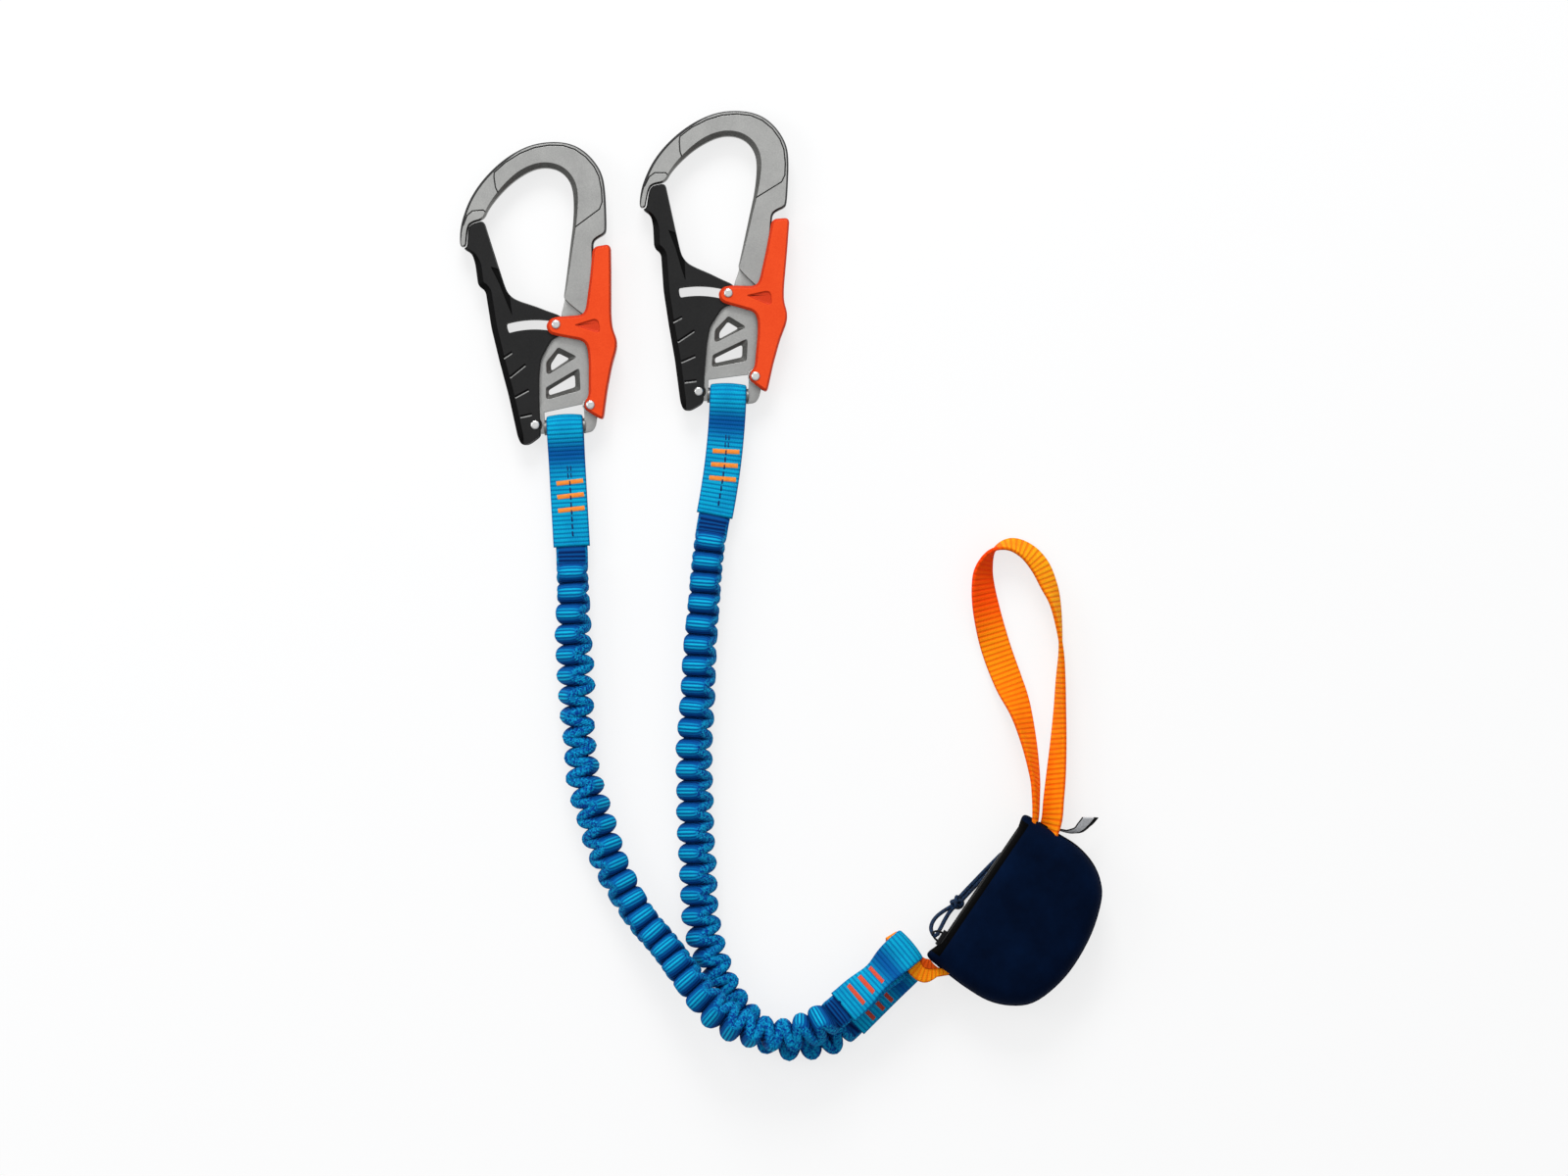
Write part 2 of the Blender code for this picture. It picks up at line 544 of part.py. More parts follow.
def sewn_eye(name, length, placement, drift, finish=blue_webbing):
    """Webbing folded round a bar and sewn to itself. Local origin: the bar's middle, with the strap along -Y."""
    half_turns = 9
    turns = [math.pi * (i / (half_turns - 1)) for i in range(half_turns)]
    outer = [Vector((eye_outer_radius * math.sin(t - math.pi / 2), eye_outer_radius * math.cos(t - math.pi / 2)))
             for t in turns]
    strap = [-eye_shoulder, -length * 0.5, -length * 0.75, -length]
    below = [Vector((strap_half, y)) for y in strap]
    above = [Vector((-strap_half, y)) for y in reversed(strap)]
    outline = outer + below + above
    rings = []
    for x in (-web_width / 2, web_width / 2):
        ring = []
        for p in outline:
            middle, across = strap_line(p.y, length, drift)
            ring.append(placement @ (middle + across * x + Vector((0, 0, p.x))))
        rings.append(ring)
    made = lofted(name, rings, finish)
    hole = [Vector((eye_hole_radius * math.sin(t - math.pi / 2), eye_hole_radius * math.cos(t - math.pi / 2)))
            for t in turns]
    hole.append(Vector((0, -eye_throat)))
    far = web_width / 2 + overrun
    hole_rings = [[placement @ Vector((x, p.y, p.x)) for p in hole] for x in (-far, far)]
    combine(made, lofted(name + "_hole", hole_rings), "DIFFERENCE")
    return made


def eye_placement(place, heading, pitch=0.0):
    """A sewn eye's frame: its +Y points along the heading, dipping by the pitch."""
    turn = Matrix.Rotation(heading - math.pi / 2, 4, "Z") @ Matrix.Rotation(-pitch, 4, "X")
    return Matrix.Translation(place) @ turn


def smooth_route(points, steps):
    """A smooth curve through route points, each a tuple whose first three numbers are its place."""
    route = [Vector(p) for p in points]
    first = [2 * a - b for a, b in zip(route[0], route[1])]
    last = [2 * a - b for a, b in zip(route[-1], route[-2])]
    route = [Vector(first)] + route + [Vector(last)]
    fine = []
    for i in range(1, len(route) - 2):
        p0, p1, p2, p3 = route[i - 1:i + 3]
        for k in range(steps):
            t = k / steps
            fine.append(0.5 * (2 * p1 + (p2 - p0) * t + (2 * p0 - 5 * p1 + 4 * p2 - p3) * t ** 2
                               + (3 * p1 - p0 - 3 * p2 + p3) * t ** 3))
    fine.append(route[-2])
    return fine


class Run:
    """A smooth route measured along its length."""

    def __init__(self, points):
        self.fine = smooth_route(points, 12)
        self.lengths = [0.0]
        for a, b in zip(self.fine, self.fine[1:]):
            self.lengths.append(self.lengths[-1] + (b.to_3d() - a.to_3d()).length)
        self.total = self.lengths[-1]
        self.first = (Vector(points[1][:3]) - Vector(points[0][:3])).normalized()
        self.last = (Vector(points[-1][:3]) - Vector(points[-2][:3])).normalized()

    def at(self, length):
        """The place, the heading and the turn in radians at a length along the route."""
        i = 0
        while i < len(self.lengths) - 2 and self.lengths[i + 1] < length:
            i += 1
        span = self.lengths[i + 1] - self.lengths[i]
        share = (length - self.lengths[i]) / span
        here = self.fine[i].lerp(self.fine[i + 1], share)
        low, high = max(i - 2, 0), min(i + 3, len(self.fine) - 1)
        ahead = (self.fine[high].to_3d() - self.fine[low].to_3d()).normalized()
        if length <= 0:
            ahead = self.first
        if length >= self.total:
            ahead = self.last
        return here.to_3d(), ahead, math.radians(here[3])


def ruffled_arm(name, route):
    """Webbing gathered into even folds: passes square to the arm joined by half-round bends, in one strand."""
    run = Run(route)
    folds = max(1, round((run.total - 2 * arm_stub) / fold_pitch - 0.5))
    bends = 2 * folds
    radius = (run.total - 2 * arm_stub) / (2 * (bends + 1))
    reach = fold_depth / 2 - strand_thickness / 2 - radius
    stations = [(0.0, 0.0, 0.0)]

    def bend(centre, middle, start, turn, steps):
        for k in range(steps + 1):
            heading = start + turn * k / steps
            spoke = heading + math.pi / 2 if turn < 0 else heading - math.pi / 2
            stations.append((centre + radius * math.cos(spoke), middle + radius * math.sin(spoke), heading))

    bend(arm_stub, radius, 0.0, math.pi / 2, 2)
    for k in range(bends):
        centre = arm_stub + 2 * radius * (k + 1)
        if k % 2 == 0:
            bend(centre, reach, math.pi / 2, -math.pi, bend_steps)
        else:
            bend(centre, -reach, -math.pi / 2, math.pi, bend_steps)
    bend(run.total - arm_stub, -radius, math.pi / 2, -math.pi / 2, 2)
    stations.append((run.total, 0.0, 0.0))
    rings = []
    for along, out, heading in stations:
        place, ahead, turn = run.at(along)
        level = ahead.cross(Vector((0, 0, 1))).normalized()
        up = level.cross(ahead)
        deep = up * math.cos(turn) + level * math.sin(turn)
        across = ahead.cross(deep)
        square = deep * math.cos(heading) - ahead * math.sin(heading)
        share = min(1.0, abs(out) / (fold_depth / 2 - strand_thickness / 2))
        half = (fold_width + (crest_width - fold_width) * share ** 2) / 2
        middle = place + deep * out
        thick = square * strand_thickness / 2
        rings.append([middle + across * half + thick, middle - across * half + thick,
                      middle - across * half - thick, middle + across * half - thick])
    return lofted(name, rings, blue_webbing)


def ribbon_rings(points, width, thickness):
    """Rings of a flat ribbon along a route whose fourth numbers give its lean in degrees."""
    fine = smooth_route(points, loop_steps)
    rings = []
    for i, here in enumerate(fine):
        ahead = (fine[min(i + 1, len(fine) - 1)].to_3d() - fine[max(i - 1, 0)].to_3d()).normalized()
        level = ahead.cross(Vector((0, 0, 1))).normalized()
        up = level.cross(ahead)
        lean = math.radians(here[3])
        face = level * math.cos(lean) + up * math.sin(lean)
        wide = ahead.cross(face) * width / 2
        thick = face * thickness / 2
        place = here.to_3d()
        rings.append([place + wide + thick, place - wide + thick, place - wide - thick, place + wide - thick])
    return rings


def oval_rings(points, half_width, half_thickness):
    """Rings of a flattened cord along a route, with its width kept level."""
    fine = smooth_route(points, loop_steps)
    rings = []
    level = None
    for i, here in enumerate(fine):
        ahead = (fine[min(i + 1, len(fine) - 1)] - fine[max(i - 1, 0)]).normalized()
        level = ahead.cross(Vector((0, 0, 1))).normalized() if level is None else level
        level = (level - ahead * level.dot(ahead)).normalized()
        up = level.cross(ahead)
        turns = [2 * math.pi * (k + 0.5) / oval_sides for k in range(oval_sides)]
        rings.append([here + level * half_width * math.cos(t) + up * half_thickness * math.sin(t) for t in turns])
    return rings


def pouch_rings(wall):
    """The padded case's outer form, or with a wall the room inside it."""
    rings = []
    height = pouch_height - 2 * wall
    for level, size in pouch_profile_shares:
        ring = []
        for along, across in pouch_outline_shares:
            point = Vector((along * zip_length * size, across * pouch_depth * size, 0))
            point -= point.normalized() * wall
            ring.append(point + Vector((0, 0, wall + level * height)))
        rings.append(ring)
    return rings


def box(name, low, high, finish=None, parent=None):
    corners = [Vector((low[0], low[1])), Vector((high[0], low[1])), Vector((high[0], high[1])),
               Vector((low[0], high[1]))]
    return plate(name, corners, low[2], high[2], 0.0, finish, parent)


def pouch(frame):
    """The fabric case with its zip opening and the slits where both webbing loops leave it."""
    shell = lofted("pouch_shell", pouch_rings(0.0), navy_fabric, frame)
    combine(shell, lofted("pouch_room", pouch_rings(fabric_wall), None, frame), "DIFFERENCE")
    edge = zip_edge_share * pouch_depth
    run = zip_run_share * zip_length / 2
    middle = pouch_height / 2
    half = zip_tape_width / 2
    mouth = box("zip_mouth", (-run, edge - fabric_wall - overrun, middle - half),
                (run, edge + overrun, middle + half), None, frame)
    combine(shell, mouth, "DIFFERENCE")
    slit = 2 * loop_slit_gap
    loop_cut = ribbon_rings(tie_in_route, loop_width + slit, loop_thickness + slit)
    link_cut = oval_rings(link_route, link_half_width + link_slit_gap, link_half_thickness + link_slit_gap)
    for label, rings in (("tie_in", loop_cut), ("link", link_cut)):
        combine(shell, lofted(label + "_slit_start", rings[:slit_rings]), "DIFFERENCE")
        combine(shell, lofted(label + "_slit_end", rings[-slit_rings:]), "DIFFERENCE")
    return shell


def absorber_pack(frame):
    """Tear webbing folded into a flat stack: layers joined by round folds at alternate ends."""
    step = pack_layer + pack_layer_gap
    base = (pouch_height - pack_layers * step + pack_layer_gap) / 2
    inner, outer = pack_layer_gap / 2, pack_layer_gap / 2 + pack_layer
    half = pack_length / 2 - outer
    cuts = [(Vector((-half, base)), Vector((-half, base + pack_layer)))]
    for k in range(pack_layers - 1):
        side = 1 if k % 2 == 0 else -1
        centre = Vector((side * half, base + (k + 1) * step - pack_layer_gap / 2))
        for i in range(fold_steps + 1):
            turn = math.pi * (i / fold_steps - 1 / 2)
            spoke = Vector((side * math.cos(turn), math.sin(turn)))
            reaches = (outer, inner) if side > 0 else (inner, outer)
            cuts.append((centre + spoke * reaches[0], centre + spoke * reaches[1]))
    side = 1 if pack_layers % 2 else -1
    last = [base + (pack_layers - 1) * step, base + (pack_layers - 1) * step + pack_layer]
    cuts.append([Vector((side * half, z)) for z in last[::side]])
    across = pack_across_share * pouch_depth
    near, far = across - pack_width / 2, across + pack_width / 2
    rings = []
    for low, high in cuts:
        rings.append([Vector((low.x, near, low.y)), Vector((low.x, far, low.y)),
                      Vector((high.x, far, high.y)), Vector((high.x, near, high.y))])
    return lofted("absorber_pack", rings, orange_webbing, frame)


def zip_chain(frame):
    """Zip tape standing in the pouch's mouth, with its closed teeth as a rib."""
    edge = zip_edge_share * pouch_depth
    run = zip_run_share * zip_length / 2 - meeting_gap
    middle = pouch_height / 2
    half = zip_tape_width / 2 - meeting_gap
    rib = teeth_width / 2
    inner = edge - zip_tape_thickness
    profile = [
        (inner, middle - half), (edge, middle - half), (edge, middle - rib), (edge + teeth_rise, middle - rib),
        (edge + teeth_rise, middle + rib), (edge, middle + rib), (edge, middle + half), (inner, middle + half),
    ]
    rings = [[Vector((x, y, z)) for y, z in profile] for x in (-run, run)]
    return lofted("zip_chain", rings, black_tape, frame)


def zip_slider(frame):
    """A slider that rides on the teeth, with a wire bail for the pull cord."""
    edge = zip_edge_share * pouch_depth + meeting_gap
    middle = pouch_height / 2
    half = slider_width / 2
    rib = teeth_width / 2 + meeting_gap
    out = edge + teeth_rise + slider_wall
    face = edge + teeth_rise
    profile = [
        (edge, middle - half), (out, middle - half), (out, middle + half), (edge, middle + half),
        (edge, middle + rib), (face, middle + rib), (face, middle - rib), (edge, middle - rib),
    ]
    start = slider_start_share * zip_length
    rings = [[Vector((x, y, z)) for y, z in profile] for x in (start - slider_length / 2, start + slider_length / 2)]
    slider = lofted("zip_slider", rings, slider_zinc, frame)
    steps = 8
    path = []
    for k in range(steps + 1):
        t = math.pi * k / steps
        path.append(Vector((start - bail_span / 2 * math.cos(t), out - bail_wire_radius
                            + (bail_rise + bail_wire_radius) * math.sin(t), middle)))
    bail = tube("slider_bail", path, [bail_wire_radius] * len(path), 6, None, frame)
    combine(slider, bail, "UNION")
    return slider


def pull_cord():
    """A doubled pull cord with its knot."""
    path = smooth_route(pull_cord_route, 2)
    lengths = [0.0]
    for a, b in zip(path, path[1:]):
        lengths.append(lengths[-1] + (b - a).length)
    knot = knot_place_share * lengths[-1]
    radii = []
    for length in lengths:
        away = abs(length - knot) / (knot_length / 2)
        swell = math.sqrt(max(0.0, 1 - away ** 2))
        radii.append(pull_cord_radius + (knot_radius - pull_cord_radius) * swell)
    return tube("zip_pull_cord", path, radii, 6, navy_fabric)


def strap_lead(placement, length, drift, turn):
    """Two route points that carry a sewn eye's strap on: one a gap beyond its end, and one a little further."""
    end, across = strap_line(-length, length, drift)
    ahead = Vector((across.y, -across.x, 0))
    return [(*(placement @ (end + ahead * reach)), turn) for reach in (meeting_gap, meeting_gap + arm_lead)]


carabiner("left", left_bar_place, left_bar_lean)
carabiner("right", right_bar_place, right_bar_lean)

left_bar_frame = eye_placement((*left_bar_place, carabiner_height), math.pi / 2 + left_bar_lean)
right_bar_frame = eye_placement((*right_bar_place, carabiner_height), math.pi / 2 + right_bar_lean)
upper_eye_frame = eye_placement(upper_eye_place, upper_eye_heading, upper_eye_pitch)
lower_eye_frame = eye_placement(lower_eye_place, lower_eye_heading, lower_eye_pitch)
sewn_eye("left_carabiner_eye", bar_eye_length, left_bar_frame, left_bar_eye_drift)
sewn_eye("right_carabiner_eye", bar_eye_length, right_bar_frame, right_bar_eye_drift)
sewn_eye("left_pouch_eye", pouch_eye_length, upper_eye_frame, 0.0)
sewn_eye("right_pouch_eye", pouch_eye_length, lower_eye_frame, 0.0)

left_start = strap_lead(left_bar_frame, bar_eye_length, left_bar_eye_drift, 0)
left_end = strap_lead(upper_eye_frame, pouch_eye_length, 0.0, 360)
right_start = strap_lead(right_bar_frame, bar_eye_length, right_bar_eye_drift, 0)
right_end = strap_lead(lower_eye_frame, pouch_eye_length, 0.0, 180)
ruffled_arm("left_arm", left_start + left_arm_route + left_end[::-1])
ruffled_arm("right_arm", right_start + right_arm_route + right_end[::-1])

pouch_frame = bpy.data.objects.new("pouch_frame", None)
bpy.context.collection.objects.link(pouch_frame)
pouch_frame.rotation_euler = (0, 0, pouch_turn)
pouch(pouch_frame)
absorber_pack(pouch_frame)
zip_chain(pouch_frame)
zip_slider(pouch_frame)
pull_cord()
lofted("link_loop", oval_rings(link_route, link_half_width, link_half_thickness), orange_webbing)
lofted("tie_in_loop", ribbon_rings(tie_in_route, loop_width, loop_thickness), orange_webbing)
lofted("side_tag", ribbon_rings(tag_route, tag_height, tag_thickness), grey_label)
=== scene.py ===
import math

import bmesh
import bpy
from mathutils import Matrix, Vector


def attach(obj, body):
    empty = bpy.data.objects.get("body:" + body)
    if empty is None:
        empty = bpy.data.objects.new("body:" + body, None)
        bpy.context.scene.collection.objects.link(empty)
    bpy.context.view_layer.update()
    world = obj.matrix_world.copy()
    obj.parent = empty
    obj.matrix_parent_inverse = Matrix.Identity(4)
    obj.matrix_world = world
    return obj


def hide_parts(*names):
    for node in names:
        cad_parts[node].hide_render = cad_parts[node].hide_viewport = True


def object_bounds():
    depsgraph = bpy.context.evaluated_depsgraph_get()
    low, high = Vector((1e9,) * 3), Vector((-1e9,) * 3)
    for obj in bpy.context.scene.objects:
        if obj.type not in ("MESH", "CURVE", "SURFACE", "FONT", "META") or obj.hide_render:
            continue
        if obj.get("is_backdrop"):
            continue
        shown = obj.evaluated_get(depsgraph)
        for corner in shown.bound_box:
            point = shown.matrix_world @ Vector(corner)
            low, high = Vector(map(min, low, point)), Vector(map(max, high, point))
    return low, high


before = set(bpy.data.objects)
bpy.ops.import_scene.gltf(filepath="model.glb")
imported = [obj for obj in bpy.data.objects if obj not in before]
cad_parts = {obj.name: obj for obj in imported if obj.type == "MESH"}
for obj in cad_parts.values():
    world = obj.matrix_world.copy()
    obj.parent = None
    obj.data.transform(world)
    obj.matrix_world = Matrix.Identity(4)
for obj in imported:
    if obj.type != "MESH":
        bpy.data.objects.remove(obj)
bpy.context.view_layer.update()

# The table and the camera. The lanyard lies on a plain white table and is seen from straight above, 3 m up,
# as a product photographer shoots it. One pixel of the 1600 x 1200 picture is 0.54 mm on the table.
pixel = 0.00054
picture_middle = Vector(((800 - 1045) * pixel, (935 - 600) * pixel, 0.0))
camera_height = 3.0
eye = bpy.data.cameras.new("camera")
eye.sensor_width = 36.0
eye.lens = 36.0 * camera_height / (1600 * pixel)
camera = bpy.data.objects.new("camera", eye)
camera.location = picture_middle + Vector((0, 0, camera_height))
bpy.context.collection.objects.link(camera)
bpy.context.scene.camera = camera
bpy.context.scene.view_settings.view_transform = "Standard"


def linear(code):
    """A hex colour as it looks on a screen, turned to the linear light that a shader takes."""
    parts = [int(code[i:i + 2], 16) / 255 for i in (1, 3, 5)]
    return (*[p / 12.92 if p <= 0.04045 else ((p + 0.055) / 1.055) ** 2.4 for p in parts], 1.0)


def add(owner, kind, inputs=None, **settings):
    """Adds a node to a material or world. An input takes a number, a screen colour, an output, or a whole node,
    which gives the first output that it has in use."""
    nodes = owner.node_tree.nodes
    standing = ("Principled BSDF", "Material Output", "Background")
    made = nodes[kind] if kind in standing else nodes.new("ShaderNode" + kind)
    for name, value in settings.items():
        setattr(made, name, value)
    for socket, value in (inputs or {}).items():
        if isinstance(value, bpy.types.Node):
            value = next(output for output in value.outputs if output.enabled)
        if isinstance(value, bpy.types.NodeSocket):
            owner.node_tree.links.new(value, made.inputs[socket])
        else:
            made.inputs[socket].default_value = linear(value) if isinstance(value, str) else value
    return made


def new_material(name):
    made = bpy.data.materials.new(name)
    made.use_nodes = True
    return made


def mesh_piece(name, vertices, faces, finish, body=None, smooth=True, marks=None):
    """A shown piece from vertices and faces, turned outwards, on a body of the frame. Marks are named numbers
    at its vertices."""
    mesh = bpy.data.meshes.new(name)
    mesh.from_pydata([tuple(v) for v in vertices], [], faces)
    work = bmesh.new()
    work.from_mesh(mesh)
    bmesh.ops.recalc_face_normals(work, faces=work.faces)
    work.to_mesh(mesh)
    work.free()
    if smooth:
        mesh.shade_smooth()
    for label, values in (marks or {}).items():
        mesh.attributes.new(label, "FLOAT", "POINT").data.foreach_set("value", values)
    mesh.materials.append(finish)
    made = bpy.data.objects.new(name, mesh)
    bpy.context.collection.objects.link(made)
    if body:
        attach(made, body)
    return made


table_paint = new_material("matt_white_table")
paint = add(table_paint, "Principled BSDF", {"Base Color": "#F7F7F7", "Roughness": 0.9})
seen = add(table_paint, "LightPath").outputs
mirrored = add(table_paint, "Math", {0: seen["Is Glossy Ray"], 1: seen["Is Transmission Ray"]}, operation="MAXIMUM")
shown = add(table_paint, "Math", {0: seen["Is Camera Ray"], 1: mirrored}, operation="MAXIMUM")
white_share = add(table_paint, "Math", {0: shown, 1: 0.75}, operation="MULTIPLY")
lit_white = add(table_paint, "Emission", {"Color": "#FDFDFD", "Strength": 1.0})
table_mix = add(table_paint, "MixShader", {0: white_share, 1: paint, 2: lit_white})
add(table_paint, "Material Output", {"Surface": table_mix})
half_table = 6.0
corners = [(-half_table, -half_table), (half_table, -half_table), (half_table, half_table), (-half_table, half_table)]
table = mesh_piece("table", [picture_middle + Vector((x, y, -0.0004)) for x, y in corners], [(0, 1, 2, 3)], table_paint)
table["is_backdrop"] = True

# The room is brightest overhead and towards the top of the picture, and dimmer near the horizon, so bevels in metal
# show dark and slopes that face down the picture fall into shade.
studio = bpy.data.worlds.new("studio")
studio.use_nodes = True
bpy.context.scene.world = studio
bearing = add(studio, "TexCoord").outputs["Generated"]
bearing_parts = add(studio, "SeparateXYZ", {0: bearing}).outputs
overhead = add(studio, "MapRange",
               {"Value": bearing_parts["Z"], "From Min": 0.05, "From Max": 0.85, "To Min": 0.08, "To Max": 0.72},
               interpolation_type="SMOOTHSTEP")
far_side = add(studio, "MapRange", {"Value": bearing_parts["Y"], "From Min": -0.2, "To Max": 0.5})
room_light = add(studio, "Math", {0: overhead, 1: far_side}, operation="ADD")
add(studio, "Background", {"Color": "#F6F7F9", "Strength": room_light})


def softbox(name, place, aim, width, power):
    light = bpy.data.lights.new(name, "AREA")
    light.size = width
    light.energy = power
    made = bpy.data.objects.new(name, light)
    made.location = place
    made.rotation_euler = (Vector(aim) - Vector(place)).to_track_quat("-Z", "Y").to_euler()
    bpy.context.collection.objects.link(made)


softbox("softbox_top_of_picture", (-0.35, 2.1, 1.5), (-0.13, 0.18, 0.0), 1.0, 34)
softbox("softbox_left", (-1.6, 0.5, 1.2), (-0.13, 0.18, 0.0), 0.8, 6)

# The ruffled arms. Tubular blue webbing is gathered over an elastic core, so it stands in even, close folds.
# On the outside of each fold its colour carries a painted highlight, and in the valleys a painted shade.
# The folds turn slowly about the arm: they show their crests in one place and their selvedges in another.
fold_pitch = 0.0114
fold_depth = 0.0184
strand_thickness = 0.0044
bar_end_stub = 0.0085
pouch_end_stub = 0.003
bluntness = 0.05
station_step = 0.0008
plump_thickness = 0.0072
crest_thickness = 0.0054
plump_width = 0.0174
crest_width = 0.0150
section_points = 18
section_squareness = (0.55, 0.75)
crest_thinning = 0.25
end_run = 0.010
unevenness = ((0.05, 2.3, 0), (0.03, 5.1, 1))
face_middles = (4, 14)
end_tuck = 0.0015
upright = Vector((0, 0, 1))

left_arm_route = [
    (-0.2489, 0.2033, 0.0086, 0), (-0.2487, 0.1993, 0.0086, 0),
    (-0.2485, 0.1880, 0.0095, 4), (-0.2480, 0.1769, 0.0104, 12), (-0.2479, 0.1595, 0.0112, 28),
    (-0.2473, 0.1419, 0.0117, 45), (-0.2462, 0.1244, 0.0115, 62), (-0.2456, 0.1078, 0.0106, 80),
    (-0.2441, 0.0891, 0.0098, 95), (-0.2411, 0.0729, 0.0108, 110), (-0.2375, 0.0598, 0.0115, 122),
    (-0.2322, 0.0427, 0.0117, 135), (-0.2266, 0.0276, 0.0117, 147), (-0.2187, 0.0124, 0.0120, 158),
    (-0.2097, -0.0014, 0.0140, 168), (-0.1971, -0.0157, 0.0190, 178), (-0.1852, -0.0313, 0.0258, 190),
    (-0.1740, -0.0448, 0.0302, 205), (-0.1615, -0.0556, 0.0315, 228), (-0.1459, -0.0615, 0.0300, 252),
    (-0.1318, -0.0626, 0.0285, 270), (-0.1190, -0.0600, 0.0300, 300), (-0.1090, -0.0547, 0.0305, 335),
    (-0.1034, -0.0507, 0.0283, 360), (-0.1004, -0.0482, 0.0279, 360),
]
right_arm_route = [
    (-0.1705, 0.2204, 0.0086, 0), (-0.1713, 0.2165, 0.0086, 0),
    (-0.1720, 0.2120, 0.0094, 0), (-0.1733, 0.2040, 0.0098, 3), (-0.1750, 0.1890, 0.0102, 7),
    (-0.1763, 0.1720, 0.0105, 11), (-0.1777, 0.1576, 0.0108, 15), (-0.1787, 0.1431, 0.0111, 19),
    (-0.1793, 0.1269, 0.0113, 22), (-0.1805, 0.1107, 0.0115, 26), (-0.1814, 0.0945, 0.0117, 30),
    (-0.1815, 0.0764, 0.0118, 33), (-0.1811, 0.0578, 0.0118, 36), (-0.1803, 0.0405, 0.0118, 38),
    (-0.1793, 0.0189, 0.0118, 41), (-0.1777, -0.0011, 0.0118, 47), (-0.1748, -0.0153, 0.0115, 58),
    (-0.1696, -0.0292, 0.0106, 72), (-0.1620, -0.0437, 0.0094, 85), (-0.1517, -0.0572, 0.0089, 90),
    (-0.1399, -0.0664, 0.0089, 90), (-0.1280, -0.0697, 0.0089, 90), (-0.1150, -0.0688, 0.0090, 96),
    (-0.1043, -0.0640, 0.0100, 120), (-0.0985, -0.0602, 0.0086, 180), (-0.0956, -0.0573, 0.0086, 180),
]


def smooth_route(points, steps):
    """A smooth curve through route points, whose later numbers run smoothly too."""
    route = [Vector(p) for p in points]
    route = [2 * route[0] - route[1]] + route + [2 * route[-1] - route[-2]]
    fine = []
    for i in range(1, len(route) - 2):
        p0, p1, p2, p3 = route[i - 1:i + 3]
        for k in range(steps):
            t = k / steps
            fine.append(0.5 * (2 * p1 + (p2 - p0) * t + (2 * p0 - 5 * p1 + 4 * p2 - p3) * t ** 2
                               + (3 * p1 - p0 - 3 * p2 + p3) * t ** 3))
    fine.append(route[-2])
    return fine


class Run:
    """A smooth route measured along its length."""

    def __init__(self, points):
        self.fine = smooth_route(points, 12)
        self.lengths = [0.0]
        for a, b in zip(self.fine, self.fine[1:]):
            self.lengths.append(self.lengths[-1] + (b.to_3d() - a.to_3d()).length)
        self.total = self.lengths[-1]

    def at(self, length):
        """The place, the heading and the turn in radians at a length along the route."""
        i = 0
        while i < len(self.lengths) - 2 and self.lengths[i + 1] < length:
            i += 1
        share = (length - self.lengths[i]) / (self.lengths[i + 1] - self.lengths[i])
        here = self.fine[i].lerp(self.fine[i + 1], share)
        low, high = max(i - 2, 0), min(i + 3, len(self.fine) - 1)
        ahead = (self.fine[high].to_3d() - self.fine[low].to_3d()).normalized()
        return here.to_3d(), ahead, math.radians(here[3])


def fold_stations(total):
    """Where the folded strand passes: along the arm, out from its middle, heading, and nearness to a crest."""
    folded = total - bar_end_stub - pouch_end_stub
    half_folds = 2 * round(folded / fold_pitch - 0.5) + 1
    half_pitch = folded / half_folds
    reach = fold_depth / 2 - crest_thickness / 2
    fine = []
    for k in range(half_folds * 60 + 1):
        along = folded * k / (half_folds * 60)
        near_end = min(1.0, along / half_pitch, (folded - along) / half_pitch)
        fade = near_end * near_end * (3 - 2 * near_end)
        phase = math.pi * (along / half_pitch - 0.5)
        fold = along / half_pitch - 1
        swell = 1 + sum(size * math.sin(rate * fold + start) for size, rate, start in unevenness)
        wave = (1 + bluntness) * math.sin(phase) + bluntness * math.sin(3 * phase)
        fine.append(Vector((bar_end_stub + along, reach * fade * swell * wave, fade * abs(wave))))
    stations = [(0.0, 0.0, 0.0, 0.0), (bar_end_stub / 3, 0.0, 0.0, 0.0), (bar_end_stub * 2 / 3, 0.0, 0.0, 0.0)]
    passed = station_step
    for i in range(1, len(fine) - 1):
        passed += (fine[i] - fine[i - 1]).xy.length
        if passed >= station_step:
            passed -= station_step
            ahead = fine[i + 1] - fine[i - 1]
            stations.append((fine[i].x, fine[i].y, math.atan2(ahead.y, ahead.x), fine[i].z))
    stations += [(total - pouch_end_stub / 2, 0.0, 0.0, 0.0), (total, 0.0, 0.0, 0.0)]
    return stations


def ring_piece(name, vertices, around, finish, body=None, smooth=True, marks=None, ends_first=False):
    """A piece skinned over rings of points that follow one another, with flat ends. Its ends are the last two faces
    unless they are asked for first."""
    last = len(vertices) - around
    flanks = [(low + i, low + (i + 1) % around, low + around + (i + 1) % around, low + around + i)
              for low in range(0, last, around) for i in range(around)]
    ends = [tuple(reversed(range(around))), tuple(range(last, last + around))]
    return mesh_piece(name, vertices, ends + flanks if ends_first else flanks + ends, finish, body, smooth, marks)


